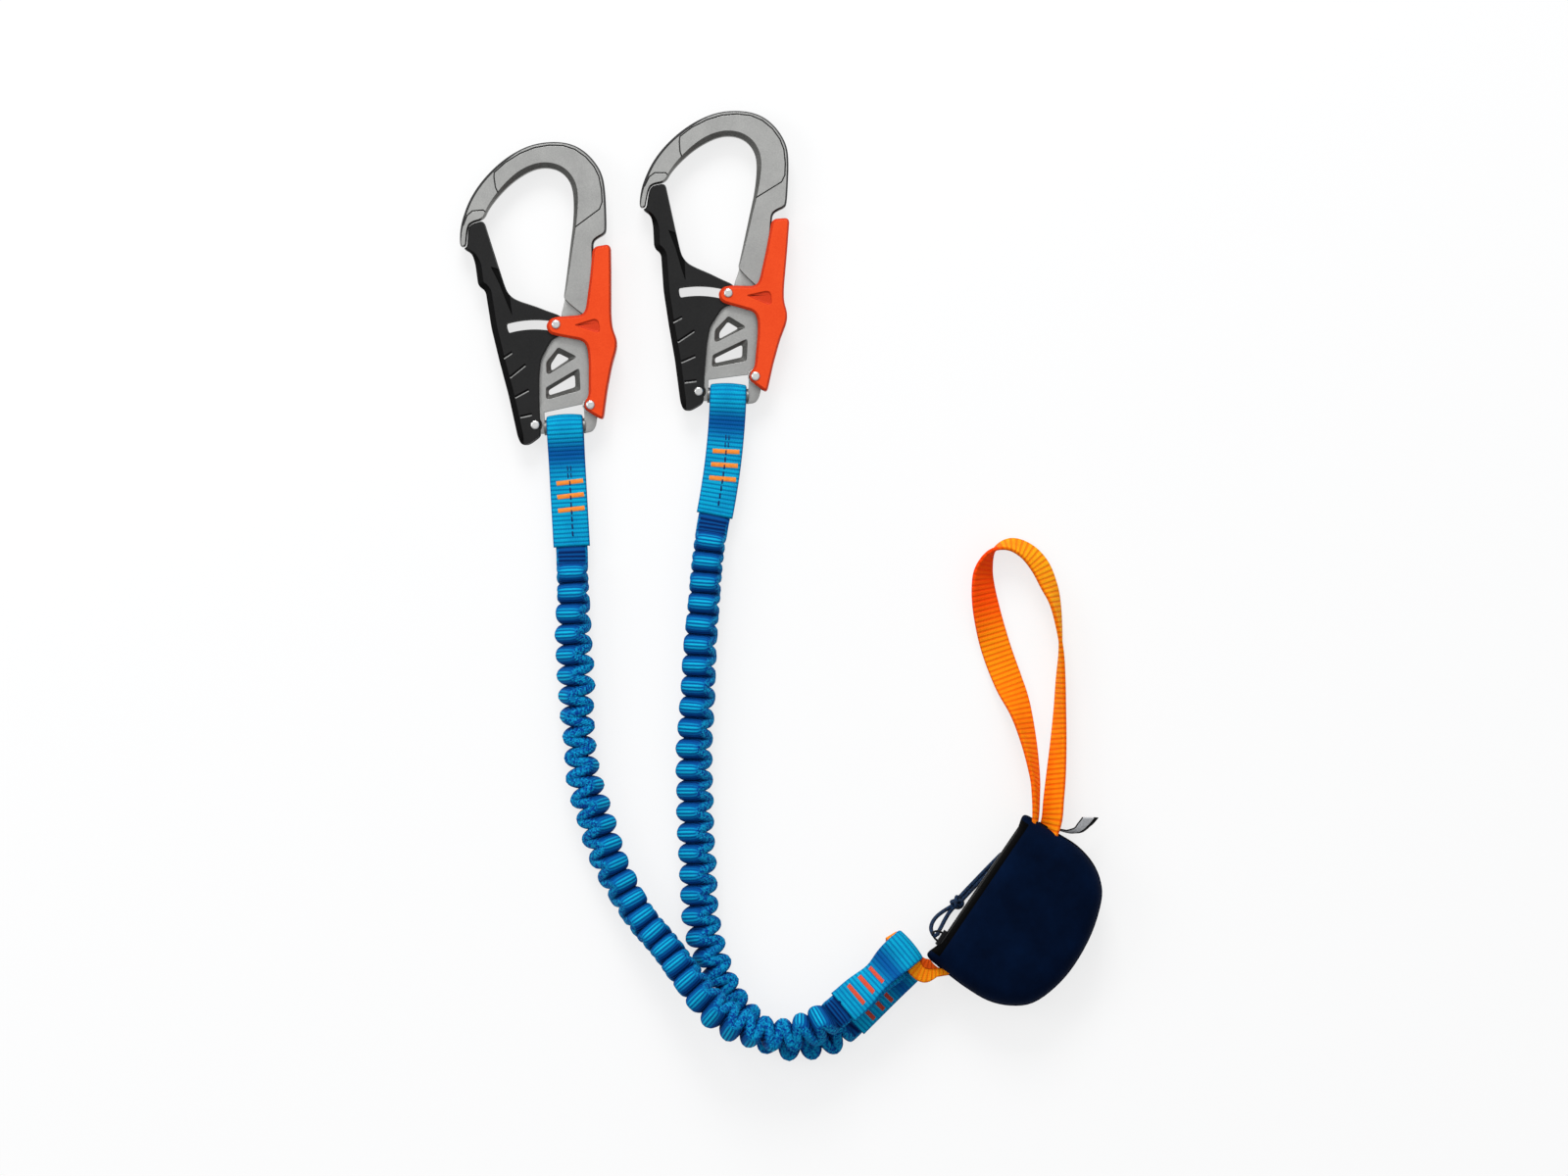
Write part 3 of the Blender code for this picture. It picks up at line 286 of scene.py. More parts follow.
def ruffled_arm(name, route, finish):
    """The gathered strand of one arm, marked for its crests, its selvedges and the ribs along its two faces."""
    run = Run(route)
    stations = fold_stations(run.total)
    turns = [2 * math.pi * k / section_points for k in range(section_points)]
    vertices, crest, edge = [], [], []
    for along, out, heading, share in stations:
        place, ahead, turn = run.at(along)
        level = ahead.cross(upright).normalized()
        deep = level.cross(ahead) * math.cos(turn) + level * math.sin(turn)
        across = ahead.cross(deep)
        square = deep * math.cos(heading) - ahead * math.sin(heading)
        near_end = min(1.0, min(along, run.total - along) / end_run)
        half = (plump_width + (crest_width - plump_width) * share ** 2) / 2
        thick = (strand_thickness + (plump_thickness - strand_thickness) * near_end) / 2
        thick *= 1 - crest_thinning * near_end * share ** 4
        for t in turns:
            c, s = math.cos(t), math.sin(t)
            x = math.copysign(abs(c) ** section_squareness[0], c) * half
            y = math.copysign(abs(s) ** section_squareness[1], s) * thick
            vertices.append(place + deep * out + across * x + square * y)
            # The crest mark carries the painted light: high near a crest, on the side of the strand that faces outward.
            crest.append(max(0.0, share ** 6 * (0.5 + 0.5 * s * math.copysign(1, out))))
            edge.append(abs(x) / half)
    travelled, length = [0.0, 0.0], []
    for r in range(len(stations)):
        for face, k in enumerate(face_middles):
            i = r * section_points + k
            travelled[face] += (vertices[i] - vertices[i - section_points]).length if r else 0.0
        for t in turns:
            upper = 0.5 if abs(math.sin(t)) < 0.01 else float(math.sin(t) > 0)
            length.append(travelled[1] + (travelled[0] - travelled[1]) * upper)
    for first, tuck, at in ((0, -end_tuck, 0.0), (len(vertices) - section_points, end_tuck, run.total)):
        for i in range(first, first + section_points):
            vertices[i] += run.at(at)[1] * tuck
    piece = ring_piece(name, vertices, section_points, finish, "webbing_and_pouch",
                       marks={"crest": crest, "edge": edge, "length": length})
    return piece, [p.to_3d() for p in smooth_route(route, 2)], run.total


# Woven polyester, gathered: matt, with a soft sheen. Cross ribs stand 1.25 mm apart, drawn at 2.2 mm, and the
# selvedges show a speckle of light and dark threads about 0.8 mm across.
rib_spacing = 0.0022
gathered = new_material("gathered_polyester_webbing")
along, crest_light_share, edge_share = [add(gathered, "Attribute", attribute_name=mark).outputs["Fac"]
                                  for mark in ("length", "crest", "edge")]
phase = add(gathered, "Math", {0: along, 1: 2 * math.pi / rib_spacing}, operation="MULTIPLY")
ribs = add(gathered, "Math", {0: phase}, operation="SINE")
rib_light = add(gathered, "MapRange", {"Value": ribs, "From Min": -1.0})
place = add(gathered, "TexCoord").outputs["Object"]
threads = add(gathered, "TexNoise", {"Vector": place, "Scale": 900.0, "Detail": 1.0, "Roughness": 0.6})
speckle = add(gathered, "TexVoronoi", {"Vector": place, "Scale": 1100.0})
speckle_light = add(gathered, "MapRange",
                    {"Value": speckle.outputs["Color"], "From Min": 0.25, "From Max": 0.75})
# Painted shade in the valleys rising to a painted highlight on the crests, set by the crest mark.
lit_and_shaded_blue = add(gathered, "ValToRGB", {"Fac": crest_light_share})
for stop, shade in ((0.0, "#02184C"), (0.30, "#04408A"), (0.60, "#0774B4"), (0.80, "#0AA0CE"), (0.95, "#10BAE0")):
    lit_and_shaded_blue.color_ramp.elements.new(stop).color = linear(shade)
lit_and_shaded_blue.color_ramp.elements.remove(lit_and_shaded_blue.color_ramp.elements[-1])
lit_and_shaded_blue.color_ramp.elements.remove(lit_and_shaded_blue.color_ramp.elements[0])
ribbed = add(gathered, "Mix", {0: rib_light, 6: "#034C8E", 7: lit_and_shaded_blue}, data_type="RGBA")
edge_mask = add(gathered, "MapRange", {"Value": edge_share, "From Min": 0.80, "From Max": 0.95})
speckled = add(gathered, "Mix", {0: speckle_light, 6: "#04388A", 7: "#0A92C2"}, data_type="RGBA")
webbing_colour = add(gathered, "Mix", {0: edge_mask, 6: ribbed, 7: speckled}, data_type="RGBA")
relief = add(gathered, "Math", {0: rib_light, 1: threads}, operation="ADD")
bump = add(gathered, "Bump", {"Strength": 0.5, "Distance": 0.0004, "Height": relief})
add(gathered, "Principled BSDF",
    {"Base Color": webbing_colour, "Roughness": 0.8, "Specular IOR Level": 0.06, "Normal": bump})

for side, route in (("left", left_arm_route), ("right", right_arm_route)):
    arm, arm_path, arm_length = ruffled_arm(side + "_ruffled_webbing", route, gathered)
    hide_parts(side + "_arm")

# The carabiner bodies. Each is one hot-forged aluminium piece: a thick hook with a wide inner bevel, and a thin
# frame below it with two windows and a round webbing bar. It is bead blasted and satin anodised, and fine grooves
# border the raised panel of the bow.
hook_rise = 0.1565
slot_half = 0.011
hook_width = slot_half / 0.1325
bar_radius = 0.0042
plate_half = 0.003
gate_inner, gate_outer = 0.0034, 0.0054
lever_inner, lever_outer = 0.0058, 0.0078
carabiner_height = 0.0086
groove_width = 0.00065
groove_depth = 0.0005
body_chamfer = 0.0022
bow_middle, bow_start = Vector((-0.004, 0.112)), 0.070
bar_sides = 28
lug_radius, boss_radius, rivet_hole_radius = 0.0056, 0.00315, 0.00195
pocket_radius, pocket_levels = 0.00395, (-0.0004, 0.006)
leg_way_length = 0.0086
slot_corners = [(-slot_half, -0.0072), (slot_half, -0.0072), (slot_half, 0.01202), (-slot_half, 0.0085)]


def on_hook(shares):
    """Points from thousandths of the hook's width and rise, measured from the bar's middle."""
    return [Vector((u * hook_width, v * hook_rise)) / 1000 for u, v in shares]


hook_outer = on_hook([
    (-622, 649), (-625, 674), (-616, 716), (-590, 760), (-547, 811), (-482, 861), (-395, 909), (-301, 948),
    (-199, 978), (-101, 995), (0, 1000), (96, 996), (181, 980), (253, 950), (308, 912), (342, 872), (352, 820),
    (352, 764), (348, 681), (335, 666), (283, 653), (259, 642), (252, 624), (249, 511), (249, 348), (180, 378),
    (120, 406), (60, 436), (40, 452),
])
hook_inner = on_hook([
    (47, 468), (76, 550), (108, 645), (130, 707), (142, 771), (141, 822), (123, 858), (82, 888), (24, 906),
    (-51, 912), (-127, 904), (-204, 884), (-281, 856), (-360, 817), (-424, 777), (-458, 741), (-547, 732),
    (-569, 712), (-581, 677), (-587, 651),
])
frame_left = on_hook([
    (53, 460), (36, 422), (20, 399), (13, 367), (11, 342), (-43, 328), (-102, 291), (-161, 233), (-164, 64),
])
frame_right = on_hook([(167, -27), (200, -10), (214, 17), (225, 64), (233, 141), (243, 256), (245, 409), (237, 460)])
upper_window = on_hook([(-14, 283), (104, 247), (108, 240), (-92, 183), (-107, 189), (-105, 230)])
lower_window = on_hook([(113, 204), (124, 199), (123, 125), (111, 120), (-104, 95), (-117, 101), (-114, 142)])
upper_waist = on_hook([(-18, 259), (46, 240), (49, 236), (-64, 200), (-71, 204), (-70, 222)])
lower_waist = on_hook([(76, 179), (84, 174), (84, 141), (76, 136), (-86, 114), (-94, 118), (-94, 131)])
gate_pivot, lock_pin, lever_pivot = on_hook([(-195, 11), (-19, 358.5), (178, 70)])
panel_groove = on_hook([
    (128, 690), (310, 754), (330, 778), (330, 822), (318, 868), (290, 903), (238, 939), (170, 967), (93, 983),
    (0, 987), (-98, 981), (-194, 964), (-294, 935), (-371, 902), (-374, 885), (-368, 850), (-345, 818),
])
nose_groove = on_hook([(-596, 722), (-566, 757), (-530, 772), (-458, 773), (-436, 762)])
left_bar, left_lean = (-0.2526, 0.2695), math.radians(3.2)
right_bar, right_lean = (-0.1630, 0.2865), math.radians(-1.8)
carabiners = [
    (side, Matrix.Translation((*bar, carabiner_height)) @ Matrix.Rotation(lean, 4, "Z"))
    for side, bar, lean in (("left", left_bar, left_lean), ("right", right_bar, right_lean))
]


def softened(points, weights=None, rounds=2, reach=1.0):
    """Cuts the corners of a closed outline, no further than a reach. Weights go along with the points."""
    weights = weights or [1.0] * len(points)
    for _ in range(rounds):
        cut_points, cut_weights = [], []
        for i, here in enumerate(points):
            after, mine, next_one = points[(i + 1) % len(points)], weights[i], weights[(i + 1) % len(points)]
            share = min(0.25, reach / max((after - here).length, 0.00001))
            cut_points += [here.lerp(after, share), here.lerp(after, 1 - share)]
            cut_weights += [mine + (next_one - mine) * share, mine + (next_one - mine) * (1 - share)]
        points, weights, reach = cut_points, cut_weights, reach / 2
    return points, weights


def inset(points, amounts):
    area = sum(a.x * b.y - b.x * a.y for a, b in zip(points, points[1:] + points[:1]))
    side = 1 if area > 0 else -1
    moved = []
    for i, point in enumerate(points):
        before = (point - points[i - 1]).normalized()
        after = (points[(i + 1) % len(points)] - point).normalized()
        normal = side * Vector((-(before.y + after.y), before.x + after.x))
        moved.append(point + normal * (2 * amounts[i] / max(normal.length_squared, 1.0)))
    return moved


def slab(name, points, profile, finish, weights=None, flank=None):
    """A flat outline stacked through a profile of heights and insets, with another finish on its flanks if given."""
    weights = weights or [1.0] * len(points)
    vertices = [(*p, z) for z, by in profile for p in inset(points, [by * w for w in weights])]
    made = ring_piece(name, vertices, len(points), finish, smooth=False)
    if flank:
        made.data.materials.append(flank)
        for face in made.data.polygons:
            face.material_index = int(face.index < len(made.data.polygons) - 2)
    return made


def rounded_edges(half, radius, steps):
    """Heights and insets of a plate whose edges are rounded above and below."""
    rise = [(half - radius * (1 - math.sin(t)), radius * (1 - math.cos(t)))
            for t in (math.pi / 2 * k / steps for k in range(steps + 1))]
    return [(-z, by) for z, by in reversed(rise)] + rise


def chamfered_edges(half, chamfer):
    """Heights and insets of a plate with one chamfer above and below. The outline's weights are its width."""
    return [(-half, 1.0), (-half + chamfer, 0.0), (half - chamfer, 0.0), (half, 1.0)]


def cutter(points, finish, low=-0.012, high=0.012):
    """A plain cutter from one height to another. Without heights it clears both faces of the carabiner."""
    return slab("cutter", points, [(low, 0.0), (high, 0.0)], finish)


def ring_outline(centre, radius, sides=24):
    turns = [2 * math.pi * k / sides for k in range(sides)]
    return [centre + radius * Vector((math.cos(t), math.sin(t))) for t in turns]


def hole(centre, radius, finish):
    return cutter(ring_outline(centre, radius), finish)


def headings(points):
    """The way the line runs at each of its points, taken between its neighbours."""
    return [(after - before).normalized() for before, after in zip(points[:1] + points, points[1:] + points[-1:])]


def groove(points, width, depth, finish):
    """A cutter for a fine groove along a line in the upper face."""
    sides = [Vector((-ahead.y, ahead.x)) * width / 2 for ahead in headings(points)]
    left = [p + s for p, s in zip(points, sides)]
    right = [p - s for p, s in zip(points, sides)]
    return cutter(left + right[::-1], finish, gate_outer - depth, gate_outer + depth)


def drafted_window(mouth, waist):
    """A cutter for a forged window: wide at both faces and narrow at its waist, where the two dies met."""
    mouth, _ = softened(mouth, reach=0.0007)
    waist, _ = softened(waist, reach=0.0006)
    reach, land = plate_half + 0.0004, 0.0004
    levels = ((mouth, -reach), (waist, -land), (waist, land), (mouth, reach))
    return ring_piece("window", [(*p, z) for ring, z in levels for p in ring], len(mouth), shaded_flank, smooth=False)


def carve(target, joins, cuts):
    """Joins pieces to a target and cuts others out of it, with exact Booleans, and removes those pieces."""
    for other in joins + cuts:
        step = target.modifiers.new(other.name, "BOOLEAN")
        step.operation = "UNION" if other in joins else "DIFFERENCE"
        step.solver, step.object, step.material_mode = "EXACT", other, "TRANSFER"
    shaped = bpy.data.meshes.new_from_object(target.evaluated_get(bpy.context.evaluated_depsgraph_get()))
    target.modifiers.clear()
    target.data = shaped
    for other in joins + cuts:
        bpy.data.objects.remove(other, do_unlink=True)


def settle(piece, placement, body, node):
    """Moves a finished piece from its carabiner's frame to its place, smooths it and ties it to its body."""
    piece.data.transform(placement)
    piece.data.shade_smooth()
    piece.data.set_sharp_from_angle(angle=math.radians(28))
    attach(piece, body)
    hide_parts(node)


def metal_finish(name, dark, light, metallic, smoothest, roughest, grain_size, wear, specular=0.5):
    """A metal surface with a fine grain, handled in patches, and softened along its edges by wear."""
    finish = new_material(name)
    place = add(finish, "TexCoord").outputs["Object"]
    grain = add(finish, "TexNoise", {"Vector": place, "Scale": 0.5 / grain_size, "Roughness": 0.6})
    handling = add(finish, "TexNoise", {"Vector": place, "Scale": 55.0, "Detail": 3.0, "Roughness": 0.6})
    faint = add(finish, "Math", {0: handling, 1: 0.35}, operation="MULTIPLY")
    blend = add(finish, "Math", {0: grain, 1: 0.65, 2: faint}, operation="MULTIPLY_ADD")
    spread = add(finish, "MapRange", {"Value": blend, "From Min": 0.3, "From Max": 0.7})
    shade = add(finish, "Mix", {0: spread, 6: dark, 7: light}, data_type="RGBA")
    gloss = add(finish, "MapRange", {"Value": handling, "From Min": 0.3, "From Max": 0.7,
                                     "To Min": smoothest, "To Max": roughest})
    worn = add(finish, "Bevel", {"Radius": wear}, samples=4)
    pits = add(finish, "Bump", {"Strength": 0.15, "Distance": 0.0002, "Height": grain, "Normal": worn})
    add(finish, "Principled BSDF", {"Base Color": shade, "Metallic": metallic, "Specular IOR Level": specular,
                                    "Roughness": gloss, "Normal": pits})
    return finish


# Anodised aluminium, bead blasted on its broad faces: an even matt silver. Blasting leaves pits about 0.1 mm across,
# drawn at 0.3 mm so that they show. The flanks, bevels, bar and cut walls take a darker copy of it as painted shade,
# and the grooves and the bow's outer bevel take a near-black painted shade.
satin_aluminium = metal_finish("bead_blasted_aluminium", "#9C9C9A", "#B2B2AF", 0.85, 0.42, 0.50, 0.0003, 0.0004)
shaded_flank = metal_finish("aluminium_flank_painted_shade", "#626260", "#80807D", 0.85, 0.38, 0.50, 0.0004, 0.0003)
groove_and_edge_shade = metal_finish("aluminium_groove_painted_shade", "#1C1C1C", "#303030", 0.2, 0.5, 0.6, 0.0004, 0.0001, 0.2)

for side, placement in carabiners:
    weights = [0.5, 0.9, 1.3] + [1.5] * 5 + [0.9] * (len(hook_outer) - 12) + [0.5, 0.3, 0.3, 0.3]
    weights += [0.9, 1.3, 1.6, 1.9, 2.3] + [2.8] * 7 + [2.2, 1.6, 1.0, 0.7, 0.6, 0.5, 0.4, 0.3]
    points, weights = softened(hook_outer + hook_inner, [w / 1000 for w in weights])
    hook = slab(side + "_forged_body", points, chamfered_edges(gate_outer, body_chamfer), satin_aluminium, weights,
                shaded_flank)
    hook.data.materials.append(groove_and_edge_shade)
    # The outer bevel faces of the bow take the near-black painted shade.
    for face in hook.data.polygons:
        outside = (face.center.xy - bow_middle).dot(face.normal.xy) > 0
        if face.material_index == 1 and outside and abs(face.normal.z) > 0.2 and face.center.y > bow_start:
            face.material_index = 2
    lug = [gate_pivot + lug_radius * Vector((math.cos(math.radians(a)), math.sin(math.radians(a))))
           for a in range(100, 301, 20)]
    frame_points, _ = softened(frame_left + lug + frame_right, reach=0.0025)
    plate = slab("plate", frame_points, rounded_edges(plate_half, 0.0006, 2), satin_aluminium)
    carve(plate, [], [
        drafted_window(upper_window, upper_waist),
        drafted_window(lower_window, lower_waist),
        cutter([Vector(corner) for corner in slot_corners], shaded_flank),
    ])
    turns = [2 * math.pi * k / bar_sides for k in range(bar_sides)]
    bar = ring_piece("bar", [(x, bar_radius * math.cos(t), bar_radius * math.sin(t))
                             for x in (-slot_half - 0.0004, slot_half + 0.0004) for t in turns],
                     bar_sides, shaded_flank, smooth=False)
    boss = slab("boss", ring_outline(lever_pivot, boss_radius), rounded_edges(gate_outer, 0.0003, 1), satin_aluminium)
    leg_way = [gate_pivot + Vector((x * leg_way_length, y * pocket_radius))
               for x, y in ((0, 1), (-1, 1), (-1, -1), (0, -1))]
    carve(hook, [plate, bar, boss], [
        hole(gate_pivot, rivet_hole_radius, shaded_flank),
        hole(lever_pivot, rivet_hole_radius, shaded_flank),
        cutter(ring_outline(gate_pivot, pocket_radius), shaded_flank, *pocket_levels),
        cutter(leg_way, shaded_flank, *pocket_levels),
        groove(panel_groove, groove_width, groove_depth, groove_and_edge_shade),
        groove(nose_groove, groove_width, groove_depth, groove_and_edge_shade),
    ])
    settle(hook, placement, side + "_carabiner", side + "_carabiner_body")

# The gates. Each is punched from aluminium sheet and folded round the frame, so it is open on its inner side and
# solid only at its tip. It is hard anodised black, with a curved slot for the lock pin and pressed grip ribs.
sheet_thickness = 0.0020
gate_room_edge, gate_room_drop = 0.014, 0.02
gate_chamfer = 0.0018
grip_width, grip_depth = 0.0010, 0.0007
highlight_width, highlight_depth = 0.0009, 0.0003
recess_depth = 0.001
pin_slot_outer, pin_slot_inner = 0.0580, 0.0524
pin_slot_start, pin_slot_sweep = 72.5, 30.5
gate_right = on_hook([
    (-459, 737), (-422, 660), (-384, 580), (-348, 507), (-330, 481), (-295, 460), (-249, 447), (-147, 426),
    (-59, 405), (7, 391), (29, 374), (24, 335), (4, 319), (-54, 307), (-131, 242), (-149, 184), (-159, 89),
    (-160, 13), (-161, -28), (-200, -43), (-238, -55), (-262, -57), (-294, -54),
])
gate_back = on_hook([
    (-314, -28), (-359, 119), (-406, 239), (-448, 360), (-473, 491), (-519, 509), (-531, 588), (-549, 624),
])
gate_tip = on_hook([(-605, 643), (-578, 648), (-573, 677), (-563, 712), (-542, 727)])
gate_recess = on_hook([(-428, 573), (-377, 510), (-334, 440), (-305, 398), (-314, 468), (-330, 500), (-352, 560)])
grip_lines = [((-31.4, 39.6), (-26.6, 42.4)), ((-28.4, 28.9), (-19.6, 35.2)), ((-26.2, 17.8), (-18.6, 21.4)),
              ((-24.0, 6.9), (-17.6, 7.9))]

# Hard anodising is a grown oxide: matt charcoal on the blasted cheeks. The bevels, the folded back and the cut walls
# take a near-black, glossier copy of it as painted shade, and a grey painted highlight lies along each grip rib.
black_anodised = metal_finish("black_anodised_aluminium", "#191919", "#242424", 0.0, 0.48, 0.58, 0.0003, 0.0004, 0.14)
shaded_black = metal_finish("black_aluminium_painted_shade", "#020202", "#070707", 0.0, 0.34, 0.44, 0.0004, 0.0005, 0.08)
grip_highlight = metal_finish("black_aluminium_painted_highlight", "#747473", "#B4B4B2", 0.6, 0.35, 0.5, 0.0004, 0.0002)

for side, placement in carabiners:
    weights = [0.5] * (len(gate_right) - 1) + [2.0] + [3.3] * (len(gate_back) - 1) + [1.6] + [0.6] * len(gate_tip)
    points, weights = softened(gate_right + gate_back + gate_tip, [w / 1000 for w in weights], reach=0.0013)
    gate = slab(side + "_folded_gate", points, chamfered_edges(gate_outer, gate_chamfer), black_anodised, weights,
                shaded_black)
    room = [p + Vector((sheet_thickness, 0)) for p in gate_back]
    low = room[0].y - gate_room_drop
    room += [Vector((gate_room_edge, room[-1].y)), Vector((gate_room_edge, low)), Vector((room[0].x, low))]
    arc = []
    for radius, order in ((pin_slot_outer, 1), (pin_slot_inner, -1)):
        turns = [math.radians(pin_slot_start + pin_slot_sweep * k / 14) for k in range(15)][::order]
        arc += [gate_pivot + radius * Vector((math.cos(t), math.sin(t))) for t in turns]
    arc, _ = softened(arc, reach=0.0016)
    cuts = [
        cutter(room, shaded_black, -gate_inner, gate_inner),
        cutter(arc, shaded_black),
        hole(gate_pivot, rivet_hole_radius, shaded_black),
        cutter(gate_recess, shaded_black, gate_outer - recess_depth, gate_outer + recess_depth),
    ]
    # Each grip rib is a groove in the painted shade, with a shallow cut along its lower side in a grey painted
    # highlight.
    for ends in grip_lines:
        line = [Vector(end) / 1000 for end in ends]
        cuts += [groove(line, grip_width, grip_depth, shaded_black),
                 groove([p - Vector((0, grip_depth)) for p in line], highlight_width, highlight_depth, grip_highlight)]
    carve(gate, [], cuts)
    settle(gate, placement, side + "_gate_arm", side + "_gate")

# The lock levers. Each is a channel of sheet folded round the hook's back, and the palm presses it to free the gate.
# An arm on each face carries the lock pin. It is anodised a bright orange-red, and a small triangle is pressed in.
lever_chamfer = 0.0012
lever_room_edge, lever_room_overrun = -0.0277, 0.003
pin_hole_radius = 0.00175
press_depth, press_slope = 0.0008, 0.0007
lever_back = on_hook([
    (369, 629), (361, 526), (346, 384), (349, 336), (375, 295), (372, 264), (331, 201), (292, 116), (257, 17),
])
lever_front = on_hook([
    (224, 24), (149, 51), (137, 66), (146, 86), (170, 102), (183, 214), (181, 270), (154, 296), (-23, 319),
    (-67, 328), (-87, 353), (-63, 376), (-17, 385), (155, 386), (183, 404), (222, 514), (253, 622),
])
lever_recess = on_hook([(96, 352), (240, 371), (264, 362), (272, 326), (250, 320)])

# Orange anodised aluminium: a dyed oxide over metal, satin and slightly mottled. The shoulders, the cut walls and the
# pressed triangle take a darker, redder copy of it as painted shade.
orange_anodised = metal_finish("orange_anodised_aluminium", "#DE3D0B", "#EC4E1A", 0.15, 0.42, 0.50, 0.0003, 0.0006, 0.2)
shaded_orange = metal_finish("orange_aluminium_painted_shade", "#BE2E0E", "#DA3E14", 0.15, 0.36, 0.46, 0.0003, 0.0008, 0.2)

for side, placement in carabiners:
    weights = [0.0009] * len(lever_back) + [0.0014] * len(lever_front)
    points, weights = softened(lever_back + lever_front, weights, reach=0.0016)
    lever = slab(side + "_palm_lever", points, chamfered_edges(lever_outer, lever_chamfer), orange_anodised, weights,
                 shaded_orange)
    room = [p - Vector((sheet_thickness, 0)) for p in lever_back]
    overrun = Vector((0, lever_room_overrun))
    room = [room[0] + overrun] + room + [room[-1] - overrun]
    room += [Vector((lever_room_edge, p.y)) for p in (room[-1], room[0])]
    triangle, _ = softened(lever_recess, reach=0.0010)
    pressed = [(lever_outer - press_depth, press_slope), (lever_outer - 0.0002, 0.0), (lever_outer + 0.0006, 0.0)]
    carve(lever, [], [
        cutter(room, shaded_orange, -lever_inner, lever_inner),
        hole(lever_pivot, rivet_hole_radius, shaded_orange),
        hole(lock_pin, pin_hole_radius, shaded_orange),
        slab("pressed_triangle", triangle, pressed, shaded_orange),
    ])
    settle(lever, placement, side + "_lever_arm", side + "_lock_lever")

# The rivets, lock pins and springs. The rivets are bright turned steel with low domed heads, and the torsion springs
# are drawn wire, hidden inside the gate and the lever. Worn edges this wide give the heads their domed highlight.
turned_steel = metal_finish("turned_stainless_steel", "#D2D2D0", "#F0F0EE", 1.0, 0.20, 0.32, 0.0002, 0.0009)


def refinish(node, finish):
    """Gives a solid that keeps its CAD shape its finish."""
    for material_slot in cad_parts[node].material_slots:
        material_slot.material = finish


for side, _ in carabiners:
    for kind in ("gate_rivet", "lever_rivet", "lock_pin", "gate_spring", "lever_spring"):
        refinish(side + "_" + kind, turned_steel)

# The sewn eyes. At each end of an arm its 20 mm webbing is folded round the bar or the link loop and sewn to
# itself with three dense orange bar tacks. It is woven polyester with a ribbed face and firm selvedges.
web_width = 0.020
web_thickness = 0.0023
eye_middle_radius = 0.00585
eye_shoulder = 0.021
rib_pitch = 0.0024
eye_steps = 16
bar_eye_length = 0.066
pouch_eye_length = 0.045
right_eye_drift = -0.0054
eye_crown = 0.0009
stitch_radius = 0.00032
tack_half = 0.00135
seam_stitch, seam_pitch, seam_twin_run = 0.0030, 0.0040, 0.008
roll_middle, roll_run, sway_run = 0.020, 0.014, 0.025


def eye_placement(place, heading, pitch=0.0):
    turn = Matrix.Rotation(heading - math.pi / 2, 4, "Z") @ Matrix.Rotation(-pitch, 4, "X")
    return Matrix.Translation(place) @ turn


left_bar_frame = eye_placement((*left_bar, carabiner_height), math.pi / 2 + left_lean)
right_bar_frame = eye_placement((*right_bar, carabiner_height), math.pi / 2 + right_lean)
upper_eye_frame = eye_placement((-0.0657, -0.0193, 0.0237), math.radians(39.8), math.radians(5.3))
lower_eye_frame = eye_placement((-0.0636, -0.0253, 0.0086), math.radians(45))


def folded_line(length):
    """The middle of the webbing in an eye, from its upper end over the bar to its lower end: (y, z) points."""
    rise = []
    lap = web_thickness / 2 + 0.00002
    for k in range(13):
        t = k / 12
        ease = t * t * (3 - 2 * t)
        rise.append(Vector((-eye_shoulder * (1 - t), lap + (eye_middle_radius - lap) * ease)))
    flat = [Vector((-length + (length - eye_shoulder) * k / 24, lap)) for k in range(24)]
    upper = flat + rise
    round_bar = [Vector((eye_middle_radius * math.sin(t), eye_middle_radius * math.cos(t)))
                 for t in (math.pi * k / eye_steps for k in range(1, eye_steps))]
    return upper + round_bar + [Vector((p.x, -p.y)) for p in reversed(upper)]


def woven_strip(name, stations, width, thickness, finish, body="webbing_and_pouch"):
    """Flat webbing through stations of (place, across, face), with rounded selvedges and its length marked."""
    section = [(-0.5, 0.0), (-0.485, 0.35), (-0.45, 0.5)] + [(-0.45 + 0.9 * k / 8, 0.5) for k in range(1, 8)]
    section += [(0.45, 0.5), (0.485, 0.35), (0.5, 0.0)]
    section += [(x, -y) for x, y in reversed(section[1:-1])]
    vertices, length, side_share = [], [], []
    travelled, before = 0.0, stations[0][0]
    for place, across, face, *crown in stations:
        travelled += (place - before).length
        before = place
        for x, y in section:
            drop = 4 * x * x * crown[0] if crown else 0.0
            vertices.append(place + across * (x * width) + face * (y * thickness - drop))
            length.append(travelled)
            side_share.append(x * 2)
    return ring_piece(name, vertices, len(section), finish, body, marks={"length": length, "side": side_share},
                      ends_first=True)


